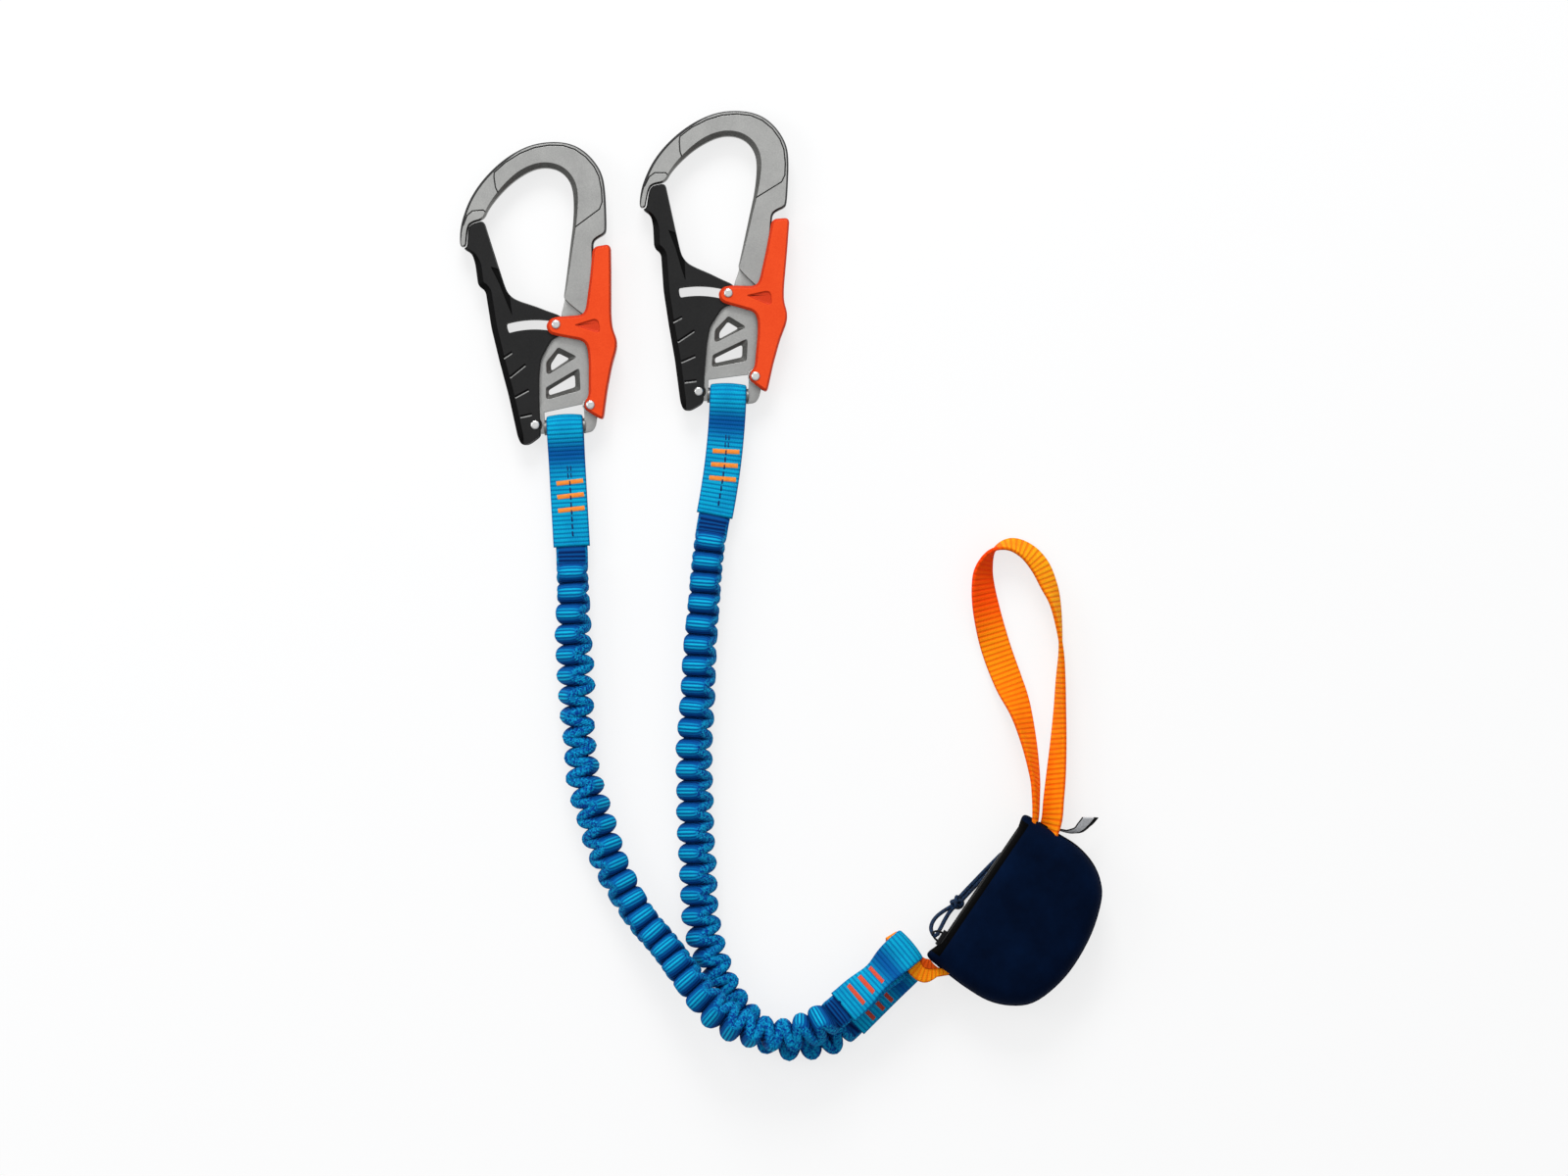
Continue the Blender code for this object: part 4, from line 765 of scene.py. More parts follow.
def woven_polyester(name, deep, mid, lit, pitch, width, shade_spans=(), yarn_gap=0.45, shade_tone=None):
    """Ribbed polyester webbing: cross ribs a pitch apart, warp threads 0.9 mm wide that cross over from rib to rib,
    and darker selvedges. Yarns are 0.4 mm across in the real one and are drawn about twice as coarse to show."""
    finish = new_material(name)
    along, side_share = [add(finish, "Attribute", attribute_name=mark).outputs["Fac"] for mark in ("length", "side")]
    turns = add(finish, "Math", {0: along, 1: 1 / pitch}, operation="MULTIPLY")
    saw = add(finish, "Math", {0: turns, 1: 0.5}, operation="PINGPONG")
    rib = add(finish, "MapRange", {"Value": saw, "From Min": 0.04, "From Max": 0.34}, interpolation_type="SMOOTHSTEP")
    row = add(finish, "Math", {0: turns}, operation="ROUND")
    offset = add(finish, "Math", {0: row, 1: 0.5}, operation="MULTIPLY")
    warp = add(finish, "Math", {0: side_share, 1: width / 2 / 0.0009, 2: offset}, operation="MULTIPLY_ADD")
    warp_saw = add(finish, "Math", {0: warp, 1: 0.5}, operation="PINGPONG")
    yarn = add(finish, "MapRange", {"Value": warp_saw, "From Max": 0.3})
    place = add(finish, "TexCoord").outputs["Object"]
    fuzz = add(finish, "TexNoise", {"Vector": place, "Scale": 900.0, "Roughness": 0.6})
    patch = add(finish, "TexNoise", {"Vector": place, "Scale": 70.0})
    raised = add(finish, "Math", {0: rib, 1: patch}, operation="MULTIPLY")
    raised_share = add(finish, "MapRange", {"Value": raised, "From Max": 0.55})
    ribbed = add(finish, "Mix", {0: raised_share, 6: mid, 7: lit}, data_type="RGBA")
    threads = add(finish, "Math", {0: yarn, 1: fuzz}, operation="MULTIPLY")
    gap_share = add(finish, "MapRange",
                    {"Value": threads, "From Min": 0.05, "From Max": 0.4, "To Min": yarn_gap, "To Max": 0.0})
    woven = add(finish, "Mix", {0: gap_share, 6: ribbed, 7: deep}, data_type="RGBA")
    outward = add(finish, "Math", {0: side_share}, operation="ABSOLUTE")
    edge = add(finish, "MapRange", {"Value": outward, "From Min": 0.90, "From Max": 0.99, "To Max": 0.6})
    shade = add(finish, "Mix", {0: edge, 6: woven, 7: deep}, data_type="RGBA")
    # Each shade span is painted shade: over that stretch the colour fades to the shade tone where one is given, and to
    # the deep colour otherwise.
    for start, full, fade, end, strength in shade_spans:
        dip = add(finish, "MapRange", {"Value": along, "From Min": start, "From Max": full, "To Max": strength},
                  interpolation_type="SMOOTHSTEP")
        back = add(finish, "MapRange",
                   {"Value": along, "From Min": fade, "From Max": end, "To Min": 1.0, "To Max": 0.0},
                   interpolation_type="SMOOTHSTEP")
        both = add(finish, "Math", {0: dip, 1: back}, operation="MULTIPLY")
        shade = add(finish, "Mix", {0: both, 6: shade, 7: shade_tone or deep}, data_type="RGBA")
    relief = add(finish, "Math", {0: yarn, 1: 0.35, 2: rib}, operation="MULTIPLY_ADD")
    bump = add(finish, "Bump", {"Strength": 0.6, "Distance": 0.0005, "Height": relief})
    add(finish, "Principled BSDF", {"Base Color": shade, "Roughness": 0.8, "Specular IOR Level": 0.06, "Normal": bump})
    return finish


def bonded_thread(name, dark, light, specular=0.2):
    """Bonded polyester thread: round, tightly laid and faintly glossy. Each stitch of a tack lies across the tack."""
    finish = new_material(name)
    place = add(finish, "TexCoord").outputs["Object"]
    lay = add(finish, "TexNoise", {"Vector": place, "Scale": 700.0, "Roughness": 0.6})
    shade = add(finish, "Mix", {0: lay, 6: dark, 7: light}, data_type="RGBA")
    add(finish, "Principled BSDF", {"Base Color": shade, "Roughness": 0.5, "Specular IOR Level": specular})
    return finish


tack_thread = bonded_thread("bonded_orange_thread", "#EE7A1C", "#FBAA4A")
red_thread = bonded_thread("bonded_red_thread", "#D2472C", "#EC6244")
# The tacks of the lower link eye use a darker copy of the red thread as painted shade.
shaded_thread = bonded_thread("bonded_red_thread_painted_shade", "#A82C18", "#CE4428", 0.5)
navy_thread = bonded_thread("bonded_navy_thread", "#031A48", "#0A3474")


def stitches(name, ends, finish):
    """Short arched threads, each from one point to another over the webbing, as one piece."""
    turns = [math.pi * k / 3 for k in range(6)]
    vertices, faces = [], []
    for start, end, up in ends:
        across = (end - start).normalized().cross(up)
        base = len(vertices)
        for t, sink in ((0.0, 0.00030), (0.15, 0.0), (0.85, 0.0), (1.0, 0.00030)):
            middle = start.lerp(end, t) - up * sink
            vertices += [middle + (across * math.cos(turn) + up * math.sin(turn)) * stitch_radius for turn in turns]
        faces += [(a + k, a + (k + 1) % 6, a + (k + 1) % 6 + 6, a + k + 6) for a in (base, base + 6, base + 12)
                  for k in range(6)]
        faces += [tuple(base + k for k in reversed(range(6))), tuple(base + 18 + k for k in range(6))]
    return mesh_piece(name, vertices, faces, finish, "webbing_and_pouch")


def sewn_eye(name, node, length, placement, drift, sway, roll, finish, tack_finish, tack_places, tack_span, tack_lean,
             seam_span):
    """One eye with its bar tacks and its seam. It drifts aside along its length, and sways and rolls near the bar."""
    def placed(x, y, z):
        below = min(y, 0)
        rolled = roll * math.exp(-((y + roll_middle) / roll_run) ** 2)
        across = Vector((1, -2 * drift * below / length ** 2, 0)).normalized() * math.cos(rolled)
        across.z = math.sin(rolled)
        over = Vector((-math.sin(rolled), 0, math.cos(rolled)))
        aside = drift * (below / length) ** 2 - sway * min(1.0, max(0.0, (y + sway_run) / sway_run)) ** 2
        return placement @ (Vector((aside, y, 0)) + across * x + over * z)

    def sewn_through(threads, x, y, shift_x, shift_y):
        """Lays one stitch on each face of the eye."""
        for z in (web_thickness, -web_thickness):
            up = (turn @ Vector((0, 0, math.copysign(1, z)))).normalized()
            threads.append((placed(x, y, z), placed(x + shift_x, y + shift_y, z), up))

    line = folded_line(length)
    turn = placement.to_3x3()
    stations = []
    for p, ahead in zip(line, headings(line)):
        across = (placed(0.001, p.x, p.y) - placed(0.0, p.x, p.y)).normalized()
        along = (turn @ Vector((0, ahead.x, ahead.y))).normalized()
        stations.append((placed(0.0, p.x, p.y), across, across.cross(along).normalized(),
                         eye_crown * min(1.0, max(0.0, (p.x + 0.004) / 0.006))))
    strap = woven_strip(name, stations, web_width, web_thickness, finish)
    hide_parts(node)
    step = 2 * stitch_radius * 0.92
    tacks, seam = [], []
    for y in tack_places:
        for k in range(int((tack_span[1] - tack_span[0]) / step)):
            x = tack_span[0] + k * step
            top = y + tack_half + tack_lean * (x - tack_span[0])
            sewn_through(tacks, x, top, 0.0003, -2 * tack_half)
    y = seam_span[0]
    while y > seam_span[1]:
        for x in (0.0001, 0.0018) if y > seam_span[0] - seam_twin_run else (0.0008, 0.0011):
            sewn_through(seam, x, y, 0.0002, -seam_stitch)
        y -= seam_pitch
    stitches(name + "_bar_tacks", tacks, tack_finish)
    if seam:
        stitches(name + "_centre_seam", seam, navy_thread)


# The darker spans of each eye are painted shade on the slopes on either side of the fold.
eye_blues = "#044796", "#057DB2", "#08AED6"
bar_blue = woven_polyester("blue_bar_eye_webbing", *eye_blues, rib_pitch, web_width,
                           ((0.036, 0.052, 0.052, 0.064, 0.85), (0.0784, 0.0904, 0.0904, 0.1064, 0.85)))
pouch_blue = woven_polyester("blue_pouch_eye_webbing", *eye_blues, rib_pitch, web_width,
                             ((0.022, 0.034, 0.034, 0.043, 0.85), (0.0574, 0.0664, 0.0664, 0.0784, 0.85)))
for side, placement, drift in (("left", left_bar_frame, 0.0), ("right", right_bar_frame, right_eye_drift)):
    sewn_eye(side + "_bar_eye", side + "_carabiner_eye", bar_eye_length, placement, drift, 0.0, 0.0, bar_blue,
             tack_thread, (-0.0310, -0.0385, -0.0460), (-0.0062, 0.0090), 0.06, (-0.0215, -0.0600))
sewn_eye("left_link_eye", "left_pouch_eye", pouch_eye_length, upper_eye_frame, 0.0, 0.0024, math.radians(40),
         pouch_blue, red_thread, (-0.0195, -0.0272, -0.0350), (-0.0070, 0.0070), 0.0, (0, 0))
sewn_eye("right_link_eye", "right_pouch_eye", pouch_eye_length, lower_eye_frame, 0.0, 0.0, 0.0,
         pouch_blue, shaded_thread, (-0.0210, -0.0276, -0.0350), (-0.0065, 0.0085), 0.0, (0, 0))

# The tie-in loop. A climber ties it into the harness with a girth hitch. It is one length of ribbed orange webbing,
# 16.5 mm wide, that leaves the pouch twice and twists once on the way round, so its inner face shows at the left.
loop_width = 0.0165
loop_thickness = 0.0022
loop_rib_pitch = 0.0028
tie_in_route = [
    (0.0042, 0.0460, 0.0180, 6), (0.0055, 0.0554, 0.0180, 9), (0.0057, 0.0670, 0.0165, 12),
    (0.0051, 0.0782, 0.0138, 17), (0.0022, 0.0957, 0.0100, 29), (-0.0024, 0.1133, 0.0074, 46),
    (-0.0095, 0.1309, 0.0034, 78), (-0.0158, 0.1484, 0.0022, 85), (-0.0204, 0.1660, 0.0046, 68),
    (-0.0228, 0.1809, 0.0066, 50), (-0.0224, 0.1917, 0.0076, 34), (-0.0178, 0.2011, 0.0085, 6),
    (-0.0086, 0.2047, 0.0084, -20), (0.0005, 0.2014, 0.0078, -32), (0.0081, 0.1933, 0.0074, -38),
    (0.0132, 0.1825, 0.0078, -33), (0.0167, 0.1723, 0.0085, -19), (0.0189, 0.1590, 0.0086, -8),
    (0.0200, 0.1453, 0.0086, 1), (0.0197, 0.1309, 0.0087, 10), (0.0192, 0.1134, 0.0089, 17),
    (0.0183, 0.0957, 0.0102, 26), (0.0169, 0.0783, 0.0128, 34), (0.0155, 0.0648, 0.0155, 37),
    (0.0143, 0.0535, 0.0175, 37), (0.0108, 0.0419, 0.0180, 34),
]


def ribbon_stations(route, step):
    """Stations of a ribbon whose route gives its lean: 0 on edge and 90 flat, in degrees."""
    run = Run(route)
    stations = []
    count = round(run.total / step)
    for k in range(count + 1):
        place, ahead, lean = run.at(min(run.total * k / count, run.total - 0.000001))
        level = ahead.cross(upright).normalized()
        up = level.cross(ahead)
        face = level * math.cos(lean) + up * math.sin(lean)
        stations.append((place, ahead.cross(face), face))
    return stations, run.total


tie_stations, tie_length = ribbon_stations(tie_in_route, 0.0012)
# Three spans along the loop are painted shade. The strongest, in a redder tone, lies on the upper left strand where the
# inner face shows.
tie_orange = woven_polyester(
    "orange_tie_in_webbing", "#D03A04", "#F47E08", "#FFAE10", loop_rib_pitch, loop_width,
    ((0.000, 0.020, 0.100, 0.140, 0.3), (0.106, 0.136, 0.164, 0.170, 0.85), (0.235, 0.270, 0.340, 0.360, 0.25)), 0.25,
    "#FF3A06")
tie_loop = woven_strip("orange_tie_in_loop", tie_stations, loop_width, loop_thickness, tie_orange)
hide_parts("tie_in_loop")

# The link loop. The end of the absorber's tear webbing leaves the pouch's lower corner, folded lengthways, threads
# both pouch eyes and goes back in. Its folded inner side is painted a darker, redder orange as shade.
link_route = [
    (-0.0370, -0.0262, 0.0198, 0.0028), (-0.0420, -0.0288, 0.0198, 0.0032), (-0.0478, -0.0292, 0.0202, 0.0046),
    (-0.0540, -0.0288, 0.0220, 0.0126), (-0.0592, -0.0262, 0.0236, 0.0120), (-0.0651, -0.0192, 0.0238, 0.0084),
    (-0.0704, -0.0130, 0.0233, 0.0076), (-0.0731, -0.0103, 0.0160, 0.0072), (-0.0713, -0.0165, 0.0090, 0.0072),
    (-0.0636, -0.0245, 0.0087, 0.0072), (-0.0570, -0.0290, 0.0090, 0.0070), (-0.0508, -0.0300, 0.0135, 0.0050),
    (-0.0450, -0.0294, 0.0162, 0.0042), (-0.0414, -0.0288, 0.0162, 0.0038), (-0.0370, -0.0262, 0.0162, 0.0036),
]
link_thickness, inner_thickness = 0.0028, 0.0024
link_rib_pitch = 0.0022
inner_lift = 0.0007
fold_start, fold_run = 1.9, 2.7
fine = smooth_route(link_route, 8)
level = None
link_stations, inner_stations = [], []
for i, (here, ahead) in enumerate(zip(fine, headings([p.to_3d() for p in fine]))):
    level = ahead.cross(upright).normalized() if level is None else level
    level = (level - ahead * level.dot(ahead)).normalized()
    face = level.cross(ahead)
    place, width = here.to_3d(), here[3]
    link_stations.append((place, level * width, face))
    share = (i / 8 - fold_start) / fold_run
    if 0 < share < 1:
        swell = math.sin(math.pi * share) ** 0.7
        inner_stations.append((place + level * (width * (0.5 - 0.2 * swell)) + face * inner_lift,
                               level * (width * 0.42 * swell), face))
link_orange = woven_polyester("orange_link_webbing", "#E04A0A", "#FF7C0A", "#FFA014", link_rib_pitch, 0.010, (), 0.2)
link = woven_strip("orange_link_loop", link_stations, 1.0, link_thickness, link_orange)
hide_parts("link_loop")
shaded_inner_orange = woven_polyester("orange_link_inside_painted_shade", "#A83204", "#CC450A", "#E05A10", link_rib_pitch, 0.005, (), 0.3)
inner_fold = woven_strip("orange_link_fold", inner_stations, 1.0, inner_thickness, shaded_inner_orange)

# The pouch. It is a padded case of navy nylon, stitched shut along a piped seam, and swollen by the folded webbing
# inside it. Along its straight edge runs a wide facing of black tape with the zip.
zip_length, pouch_depth, pouch_height = 0.0952, 0.0675, 0.036
pouch_turn = math.radians(55.8)
zip_edge = 0.456 * pouch_depth
seam_tuck = (0.98, 0.975)
left_point, right_point, point_run = 0.0062, 0.0045, 0.011
pouch_curve_shares = [
    (-0.492, 0.456), (-0.512, 0.400), (-0.520, 0.281), (-0.526, 0.086), (-0.516, -0.124), (-0.467, -0.300),
    (-0.382, -0.437), (-0.236, -0.516), (-0.066, -0.544), (0.142, -0.516), (0.327, -0.434), (0.417, -0.344),
    (0.483, -0.204), (0.516, -0.017), (0.512, 0.182), (0.508, 0.323), (0.500, 0.456),
]
pouch_profile_shares = [
    (0.000, 0.80), (0.050, 0.89), (0.170, 0.965), (0.380, 1.000), (0.620, 1.000), (0.780, 0.960),
    (0.900, 0.87), (0.970, 0.70), (1.000, 0.40),
]
pouch_curve = smooth_route([(x * zip_length, y * pouch_depth, 0.0) for x, y in pouch_curve_shares], 4)
pouch_straight = [pouch_curve[-1].lerp(pouch_curve[0], k / 24) for k in range(1, 24)]
pouch_outline = pouch_curve + pouch_straight
pouch_profile = smooth_route(pouch_profile_shares, 3)

# Coated nylon: a tight plain weave, near-black navy with a dull bloom. Its yarns are 0.35 mm apart in the real one
# and are drawn at 0.7 mm, which is as fine as shows. The facing along the zip is black twill tape.
yarn_spacing = 0.0007
facing_width, facing_half = 0.0030, 0.0435
navy_nylon = new_material("coated_navy_nylon")
place = add(navy_nylon, "TexCoord").outputs["Object"]
parts = add(navy_nylon, "SeparateXYZ", {0: place}).outputs
waves = []
for axis in "XY":
    yarns = add(navy_nylon, "Math", {0: parts[axis], 1: 1 / yarn_spacing}, operation="MULTIPLY")
    waves.append(add(navy_nylon, "Math", {0: yarns, 1: 0.5}, operation="PINGPONG"))
weave = add(navy_nylon, "Math", {0: waves[0], 1: waves[1]}, operation="MULTIPLY")
bloom = add(navy_nylon, "TexNoise", {"Vector": place, "Scale": 45.0, "Detail": 4.0, "Roughness": 0.6})
navy_share = add(navy_nylon, "Math", {0: weave, 1: 1.6, 2: bloom}, operation="MULTIPLY_ADD")
navy_level = add(navy_nylon, "MapRange", {"Value": navy_share, "From Min": 0.3})
navy = add(navy_nylon, "Mix", {0: navy_level, 6: "#010718", 7: "#031634"}, data_type="RGBA")
near_zip = add(navy_nylon, "Math", {0: parts["Y"], 1: zip_edge - facing_width}, operation="GREATER_THAN")
outward = add(navy_nylon, "Math", {0: parts["X"]}, operation="ABSOLUTE")
between_ends = add(navy_nylon, "Math", {0: outward, 1: facing_half}, operation="LESS_THAN")
facing = add(navy_nylon, "Math", {0: near_zip, 1: between_ends}, operation="MULTIPLY")
faced = add(navy_nylon, "Mix", {0: facing, 6: navy, 7: "#030303"}, data_type="RGBA")
bump = add(navy_nylon, "Bump", {"Strength": 0.35, "Distance": 0.0002, "Height": weave})
add(navy_nylon, "Principled BSDF", {"Base Color": faced, "Roughness": 0.85, "Specular IOR Level": 0.03, "Normal": bump})


def swollen(piece, voxel, pressure, most, held):
    """Fills a padded case with cloth pressure on an even mesh. No point moves further than a limit, or where held."""
    even = piece.modifiers.new("even_mesh", "REMESH")
    even.mode, even.voxel_size = "VOXEL", voxel
    mesh = bpy.data.meshes.new_from_object(piece.evaluated_get(bpy.context.evaluated_depsgraph_get()))
    piece.modifiers.clear()
    mesh.materials.clear()
    mesh.materials.append(piece.data.materials[0])
    piece.data = mesh
    start = [v.co.copy() for v in mesh.vertices]
    cloth = piece.modifiers.new("swell", "CLOTH")
    cloth.settings.use_pressure = True
    cloth.settings.uniform_pressure_force = pressure
    cloth.settings.effector_weights.gravity = 0.0
    cloth.settings.tension_stiffness = 25.0
    cloth.settings.bending_stiffness = 2.0
    for step in range(1, 21):
        bpy.context.scene.frame_set(step)
    shaped = piece.evaluated_get(bpy.context.evaluated_depsgraph_get()).to_mesh()
    ends = [v.co.copy() for v in shaped.vertices]
    piece.modifiers.clear()
    bpy.context.scene.frame_set(1)
    for vertex, before, after in zip(mesh.vertices, start, ends):
        move = after - before
        limit = most * held(before)
        vertex.co = before + (move * (limit / move.length) if move.length > limit else move)
        vertex.co.z = max(vertex.co.z, 0.0003)


case = [(p.x * share.y * seam_tuck[0], p.y * share.y * (seam_tuck[1] if p.y < zip_edge - 0.0001 else 1.0),
         0.0006 + share.x * (pouch_height - 0.0020)) for share in pouch_profile for p in pouch_outline]
pouch = ring_piece("padded_pouch", case, len(pouch_outline), navy_nylon, "webbing_and_pouch")
pouch.rotation_euler = (0, 0, pouch_turn)
swollen(pouch, 0.0024, 4.0, 0.0012, lambda p: min(1.0, max(0.0, (zip_edge - 0.001 - p.y) / 0.01)))
for vertex in pouch.data.vertices:
    for corner_x, reach in ((-zip_length / 2, left_point), (zip_length / 2, right_point)):
        off = Vector((vertex.co.x - corner_x, vertex.co.y - zip_edge, 0.6 * (vertex.co.z - pouch_height / 2)))
        near = max(0.0, 1 - off.length / point_run)
        vertex.co += Vector((math.copysign(0.25, corner_x), 0.97, 0)) * (reach * near ** 1.5)
smoothing = pouch.modifiers.new("fair", "SMOOTH")
smoothing.factor, smoothing.iterations = 0.5, 3
finer = pouch.modifiers.new("finer", "SUBSURF")
finer.levels = finer.render_levels = 1
pouch.data.shade_smooth()
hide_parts("pouch_shell")

# The seam and the zip. A piping cord covers the seam where the case's two halves are stitched together, and a coil
# zip closes the straight edge: two rows of nylon teeth on black tape.
piping_radius = 0.0008
tooth_pitch = 0.0015
tape_width, tape_thickness = 0.0098, 0.0016


def round_cord(name, path, radius, finish, body, sides=10):
    """A round cord along a path of points, which keeps from twisting."""
    vertices, level = [], None
    for here, ahead in zip(path, headings(path)):
        level = ahead.orthogonal().normalized() if level is None else (level - ahead * level.dot(ahead)).normalized()
        up = ahead.cross(level)
        vertices += [here + (level * math.cos(turn) + up * math.sin(turn)) * radius
                     for turn in (2 * math.pi * k / sides for k in range(sides))]
    return ring_piece(name, vertices, sides, finish, body)


in_pouch = Matrix.Rotation(pouch_turn, 4, "Z")
turned = in_pouch.to_3x3()
middle = pouch_height / 2
piping_path = [in_pouch @ Vector((p.x * seam_tuck[0], p.y * seam_tuck[1], middle - 0.0004)) for p in pouch_curve[3:-3]]
piping = round_cord("seam_piping", piping_path, piping_radius, navy_nylon, "webbing_and_pouch")

# Zip tape is woven black polyester, and the coil is moulded black nylon, a little glossier than the tape.
zip_tape = new_material("black_zip_tape")
place = add(zip_tape, "TexCoord").outputs["Object"]
fibre = add(zip_tape, "TexNoise", {"Vector": place, "Scale": 1200.0, "Roughness": 0.6})
shade = add(zip_tape, "Mix", {0: fibre, 6: "#050505", 7: "#161616"}, data_type="RGBA")
bump = add(zip_tape, "Bump", {"Strength": 0.4, "Distance": 0.0002, "Height": fibre})
add(zip_tape, "Principled BSDF", {"Base Color": shade, "Roughness": 0.85, "Normal": bump})
zip_coil = new_material("black_nylon_coil")
place = add(zip_coil, "TexCoord").outputs["Object"]
gleam = add(zip_coil, "TexNoise", {"Vector": place, "Scale": 500.0, "Roughness": 0.6})
shade = add(zip_coil, "Mix", {0: gleam, 6: "#030303", 7: "#222222"}, data_type="RGBA")
gloss = add(zip_coil, "MapRange", {"Value": gleam, "To Min": 0.3, "To Max": 0.5})
add(zip_coil, "Principled BSDF", {"Base Color": shade, "Roughness": gloss})

zip_half = 0.90 * zip_length / 2
tape_stations = [(in_pouch @ Vector((zip_half * (k / 20 - 1), zip_edge - 0.0006, middle)), upright,
                  turned @ Vector((0, 1, 0))) for k in range(41)]
tape = woven_strip("zip_tape", tape_stations, tape_width, tape_thickness, zip_tape)
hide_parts("zip_chain")
tooth_section = ((-0.0004, 0.00050, 0.0004), (-0.0004, 0.00050, 0.0009), (0.0015, 0.00034, 0.0009),
                 (0.0015, 0.00034, 0.0004))
vertices, faces = [], []
for row, lift in ((-1, 0.0), (1, tooth_pitch / 2)):
    for k in range(int(2 * (zip_half - 0.002) / tooth_pitch)):
        x = -zip_half + 0.002 + k * tooth_pitch + lift
        base = len(vertices)
        vertices += [in_pouch @ Vector((x + s * half, zip_edge + depth - 0.0002, middle + row * rise))
                     for rise, half, depth in tooth_section for s in (-1, 1)]
        faces += [(base + a, base + a + 1, base + (a + 3) % 8, base + (a + 2) % 8) for a in (0, 2, 4, 6)]
        faces += [(base, base + 2, base + 4, base + 6), (base + 1, base + 7, base + 5, base + 3)]
teeth = mesh_piece("zip_coil_teeth", vertices, faces, zip_coil, "webbing_and_pouch", smooth=False)
rounding = teeth.modifiers.new("moulded", "BEVEL")
rounding.width, rounding.segments = 0.00015, 2
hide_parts("zip_chain")
# The slider is die-cast zinc, blackened, with bright wear on the corners of its bail.
blackened_zinc = metal_finish("blackened_zinc", "#0B0B0C", "#1E1E20", 0.8, 0.32, 0.48, 0.0003, 0.0003)
refinish("zip_slider", blackened_zinc)

# The pull cord. It is one thin braided cord, doubled through the slider's bail and tied in an overhand knot. Past the
# knot its two strands lie side by side as far as the bight.
pull_cord_route = [
    (-0.04877, -0.00887, 0.0206), (-0.04877, -0.00887, 0.0175), (-0.0492, -0.0080, 0.0140),
    (-0.0490, -0.0055, 0.0100), (-0.0468, -0.0018, 0.0062), (-0.0430, 0.0024, 0.0042), (-0.0375, 0.0073, 0.0038),
    (-0.0330, 0.0120, 0.0026), (-0.0280, 0.0172, 0.0014), (-0.0200, 0.0255, 0.0013), (-0.0124, 0.0332, 0.0013),
]
knot_share = 0.47
strand_radius = 0.00115
closed_spread, added_spread, free_spread = 0.0006, 0.0021, 0.00105

# Braided polyester cord: navy, matt, with plaited strands 1 mm long.
braided_cord = new_material("braided_navy_cord")
place = add(braided_cord, "TexCoord").outputs["Object"]
plait = add(braided_cord, "TexVoronoi", {"Vector": place, "Scale": 1000.0})
plait_level = add(braided_cord, "MapRange", {"Value": plait, "From Max": 0.7})
shade = add(braided_cord, "Mix", {0: plait_level, 6: "#0E3A62", 7: "#03142C"}, data_type="RGBA")
bump = add(braided_cord, "Bump", {"Strength": 0.6, "Distance": 0.0003, "Height": plait}, invert=True)
add(braided_cord, "Principled BSDF",
    {"Base Color": shade, "Roughness": 0.75, "Specular IOR Level": 0.3, "Normal": bump})

pull_path = smooth_route(pull_cord_route, 8)
pull_lengths = [0.0]
for a, b in zip(pull_path, pull_path[1:]):
    pull_lengths.append(pull_lengths[-1] + (b - a).length)
pull_total = pull_lengths[-1]
knot_at = knot_share * pull_total
parted = knot_at - 0.003
strands = [[], []]
for here, ahead, length in zip(pull_path, headings(pull_path), pull_lengths):
    beside = ahead.cross(upright)
    beside = beside.normalized() if beside.length > 0.2 else Vector((0.83, 0.56, 0.0))
    spread = closed_spread + added_spread * math.sin(math.pi * min(1.0, length / parted)) ** 1.5
    spread = spread if length < parted else free_spread
    for strand, way in zip(strands, (1, -1)):
        strand.append(here + beside * (way * spread))
tip_ahead = (pull_path[-1] - pull_path[-2]).normalized()
tip_side = (strands[0][-1] - strands[1][-1]) / 2
bight = [pull_path[-1] + tip_side * math.cos(t) + tip_ahead * (0.0013 * math.sin(t))
         for t in (math.pi * k / 8 for k in range(1, 8))]
pull = round_cord("pull_cord", strands[0] + bight + strands[1][::-1], strand_radius, braided_cord, "zip_runner")
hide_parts("zip_pull_cord")
knot_place, knot_ahead, _ = Run([(*p, 0.0) for p in pull_path]).at(knot_at)
knot_side = knot_ahead.cross(upright).normalized()
knot_up = knot_side.cross(knot_ahead)
knot_line = []
for t in (2 * math.pi * k / 60 for k in range(61)):
    reach = 0.0022 + 0.0007 * math.cos(3 * t)
    knot_line.append(knot_place + knot_side * (math.cos(2 * t) * reach) + knot_up * (math.sin(2 * t) * reach * 0.85)
                     + knot_ahead * (0.0021 * math.sin(3 * t)) + upright * 0.0004)
knot = round_cord("pull_cord_knot", knot_line, strand_radius, braided_cord, "zip_runner")

# The absorber, hidden inside the pouch: tear webbing folded flat in five layers, the same orange as the loops.
pack_layers, pack_reach, pack_step, pack_base = 5, 0.0335, 0.0040, 0.0100
pack_width, pack_thickness = 0.0355, 0.0032
pack_turns = []
for layer in range(pack_layers):
    way = 1 if layer % 2 == 0 else -1
    z = pack_base + layer * pack_step
    pack_turns += [Vector((way * (-pack_reach + 2 * pack_reach * k / 10), 0.0, z)) for k in range(11)]
    if layer < pack_layers - 1:
        half = pack_step / 2
        pack_turns += [Vector((way * (pack_reach + half * math.sin(t)), 0.0, z + half - half * math.cos(t)))
                       for t in (math.pi * k / 6 for k in range(1, 6))]
across = Vector((0, 1, 0))
pack_stations = [(in_pouch @ (p + across * (0.06 * pouch_depth)), turned @ across, turned @ ahead.cross(across))
                 for p, ahead in zip(pack_turns, headings(pack_turns))]
tear_orange = woven_polyester("orange_tear_webbing", "#D03A04", "#EE7408", "#FCA00E", 0.0020, 0.036, (), 0.25)
pack = woven_strip("folded_tear_webbing", pack_stations, pack_width, pack_thickness, tear_orange)
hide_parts("absorber_pack")
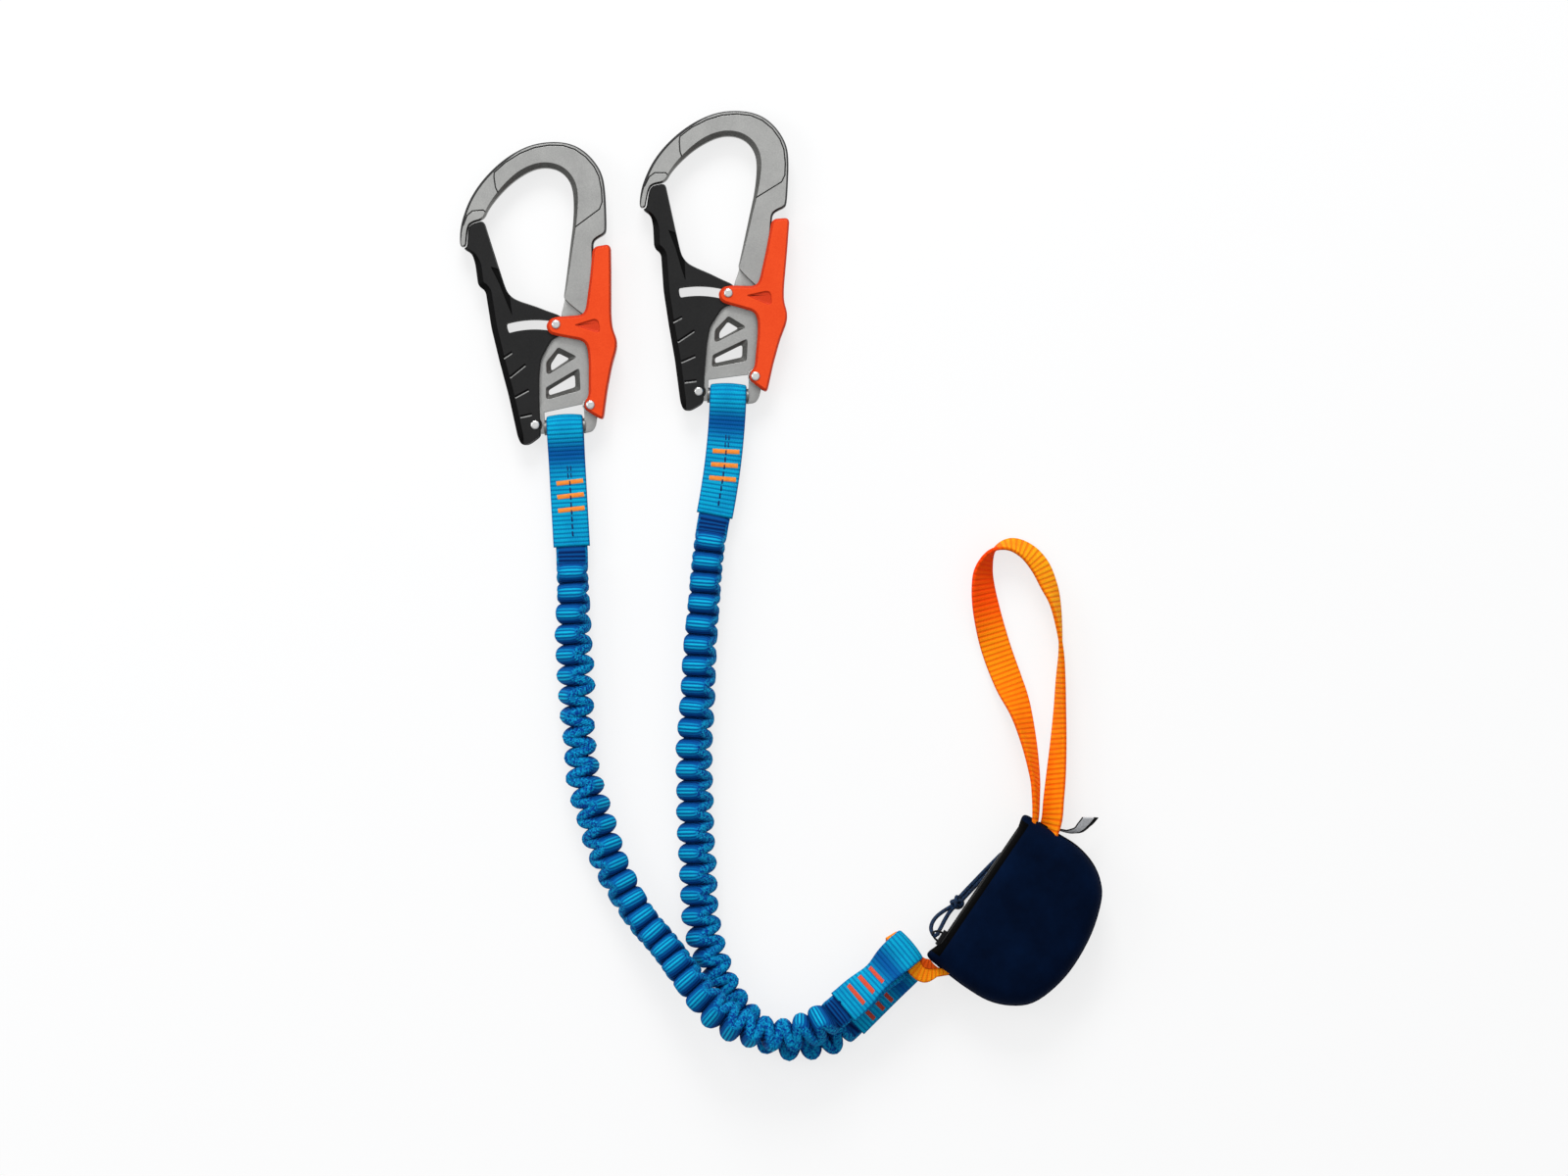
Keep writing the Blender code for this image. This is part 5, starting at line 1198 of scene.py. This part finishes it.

# The side tag. It is a folded strip of grey woven tape, sewn into the seam and left bare. Black bands run along its
# long edges, one wide and one thin.
tag_route = [
    (0.0192, 0.0481, 0.0160, 5), (0.0245, 0.0474, 0.0160, 9), (0.0292, 0.0484, 0.0160, 22),
    (0.0326, 0.0515, 0.0160, 34), (0.0356, 0.0551, 0.0160, 38),
]
tag_height, tag_thickness, tag_skew = 0.0125, 0.0010, 0.43
tag_row = 0.0008
band_shift, band_reach = 0.27, 0.67
tag_tape = new_material("grey_woven_tape")
along, side_share = [add(tag_tape, "Attribute", attribute_name=mark).outputs["Fac"] for mark in ("length", "side")]
turns = add(tag_tape, "Math", {0: along, 1: 1 / tag_row}, operation="MULTIPLY")
rows = add(tag_tape, "Math", {0: turns, 1: 0.5}, operation="PINGPONG")
place = add(tag_tape, "TexCoord").outputs["Object"]
fibre = add(tag_tape, "TexNoise", {"Vector": place, "Scale": 1400.0, "Detail": 1.0, "Roughness": 0.6})
mixed = add(tag_tape, "Math", {0: rows, 1: fibre}, operation="ADD")
mixed_level = add(tag_tape, "MapRange", {"Value": mixed, "From Min": 0.3, "From Max": 1.2})
grey = add(tag_tape, "Mix", {0: mixed_level, 6: "#A4A5A7", 7: "#E2E3E5"}, data_type="RGBA")
# A black band along each long edge, wide on one side and thin on the other.
shifted = add(tag_tape, "Math", {0: side_share, 1: band_shift}, operation="ADD")
from_middle = add(tag_tape, "Math", {0: shifted}, operation="ABSOLUTE")
black_band = add(tag_tape, "Math", {0: from_middle, 1: band_reach}, operation="GREATER_THAN")
shade = add(tag_tape, "Mix", {0: black_band, 6: grey, 7: "#030303"}, data_type="RGBA")
bump = add(tag_tape, "Bump", {"Strength": 0.4, "Distance": 0.0002, "Height": mixed})
add(tag_tape, "Principled BSDF", {"Base Color": shade, "Roughness": 0.8, "Specular IOR Level": 0.06, "Normal": bump})
tag_stations = [(place, across + face.cross(across) * tag_skew, face)
                for place, across, face in ribbon_stations(tag_route, 0.0010)[0]]
tag = woven_strip("side_tag_tape", tag_stations, tag_height, tag_thickness, tag_tape)
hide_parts("side_tag")

(low, high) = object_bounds()
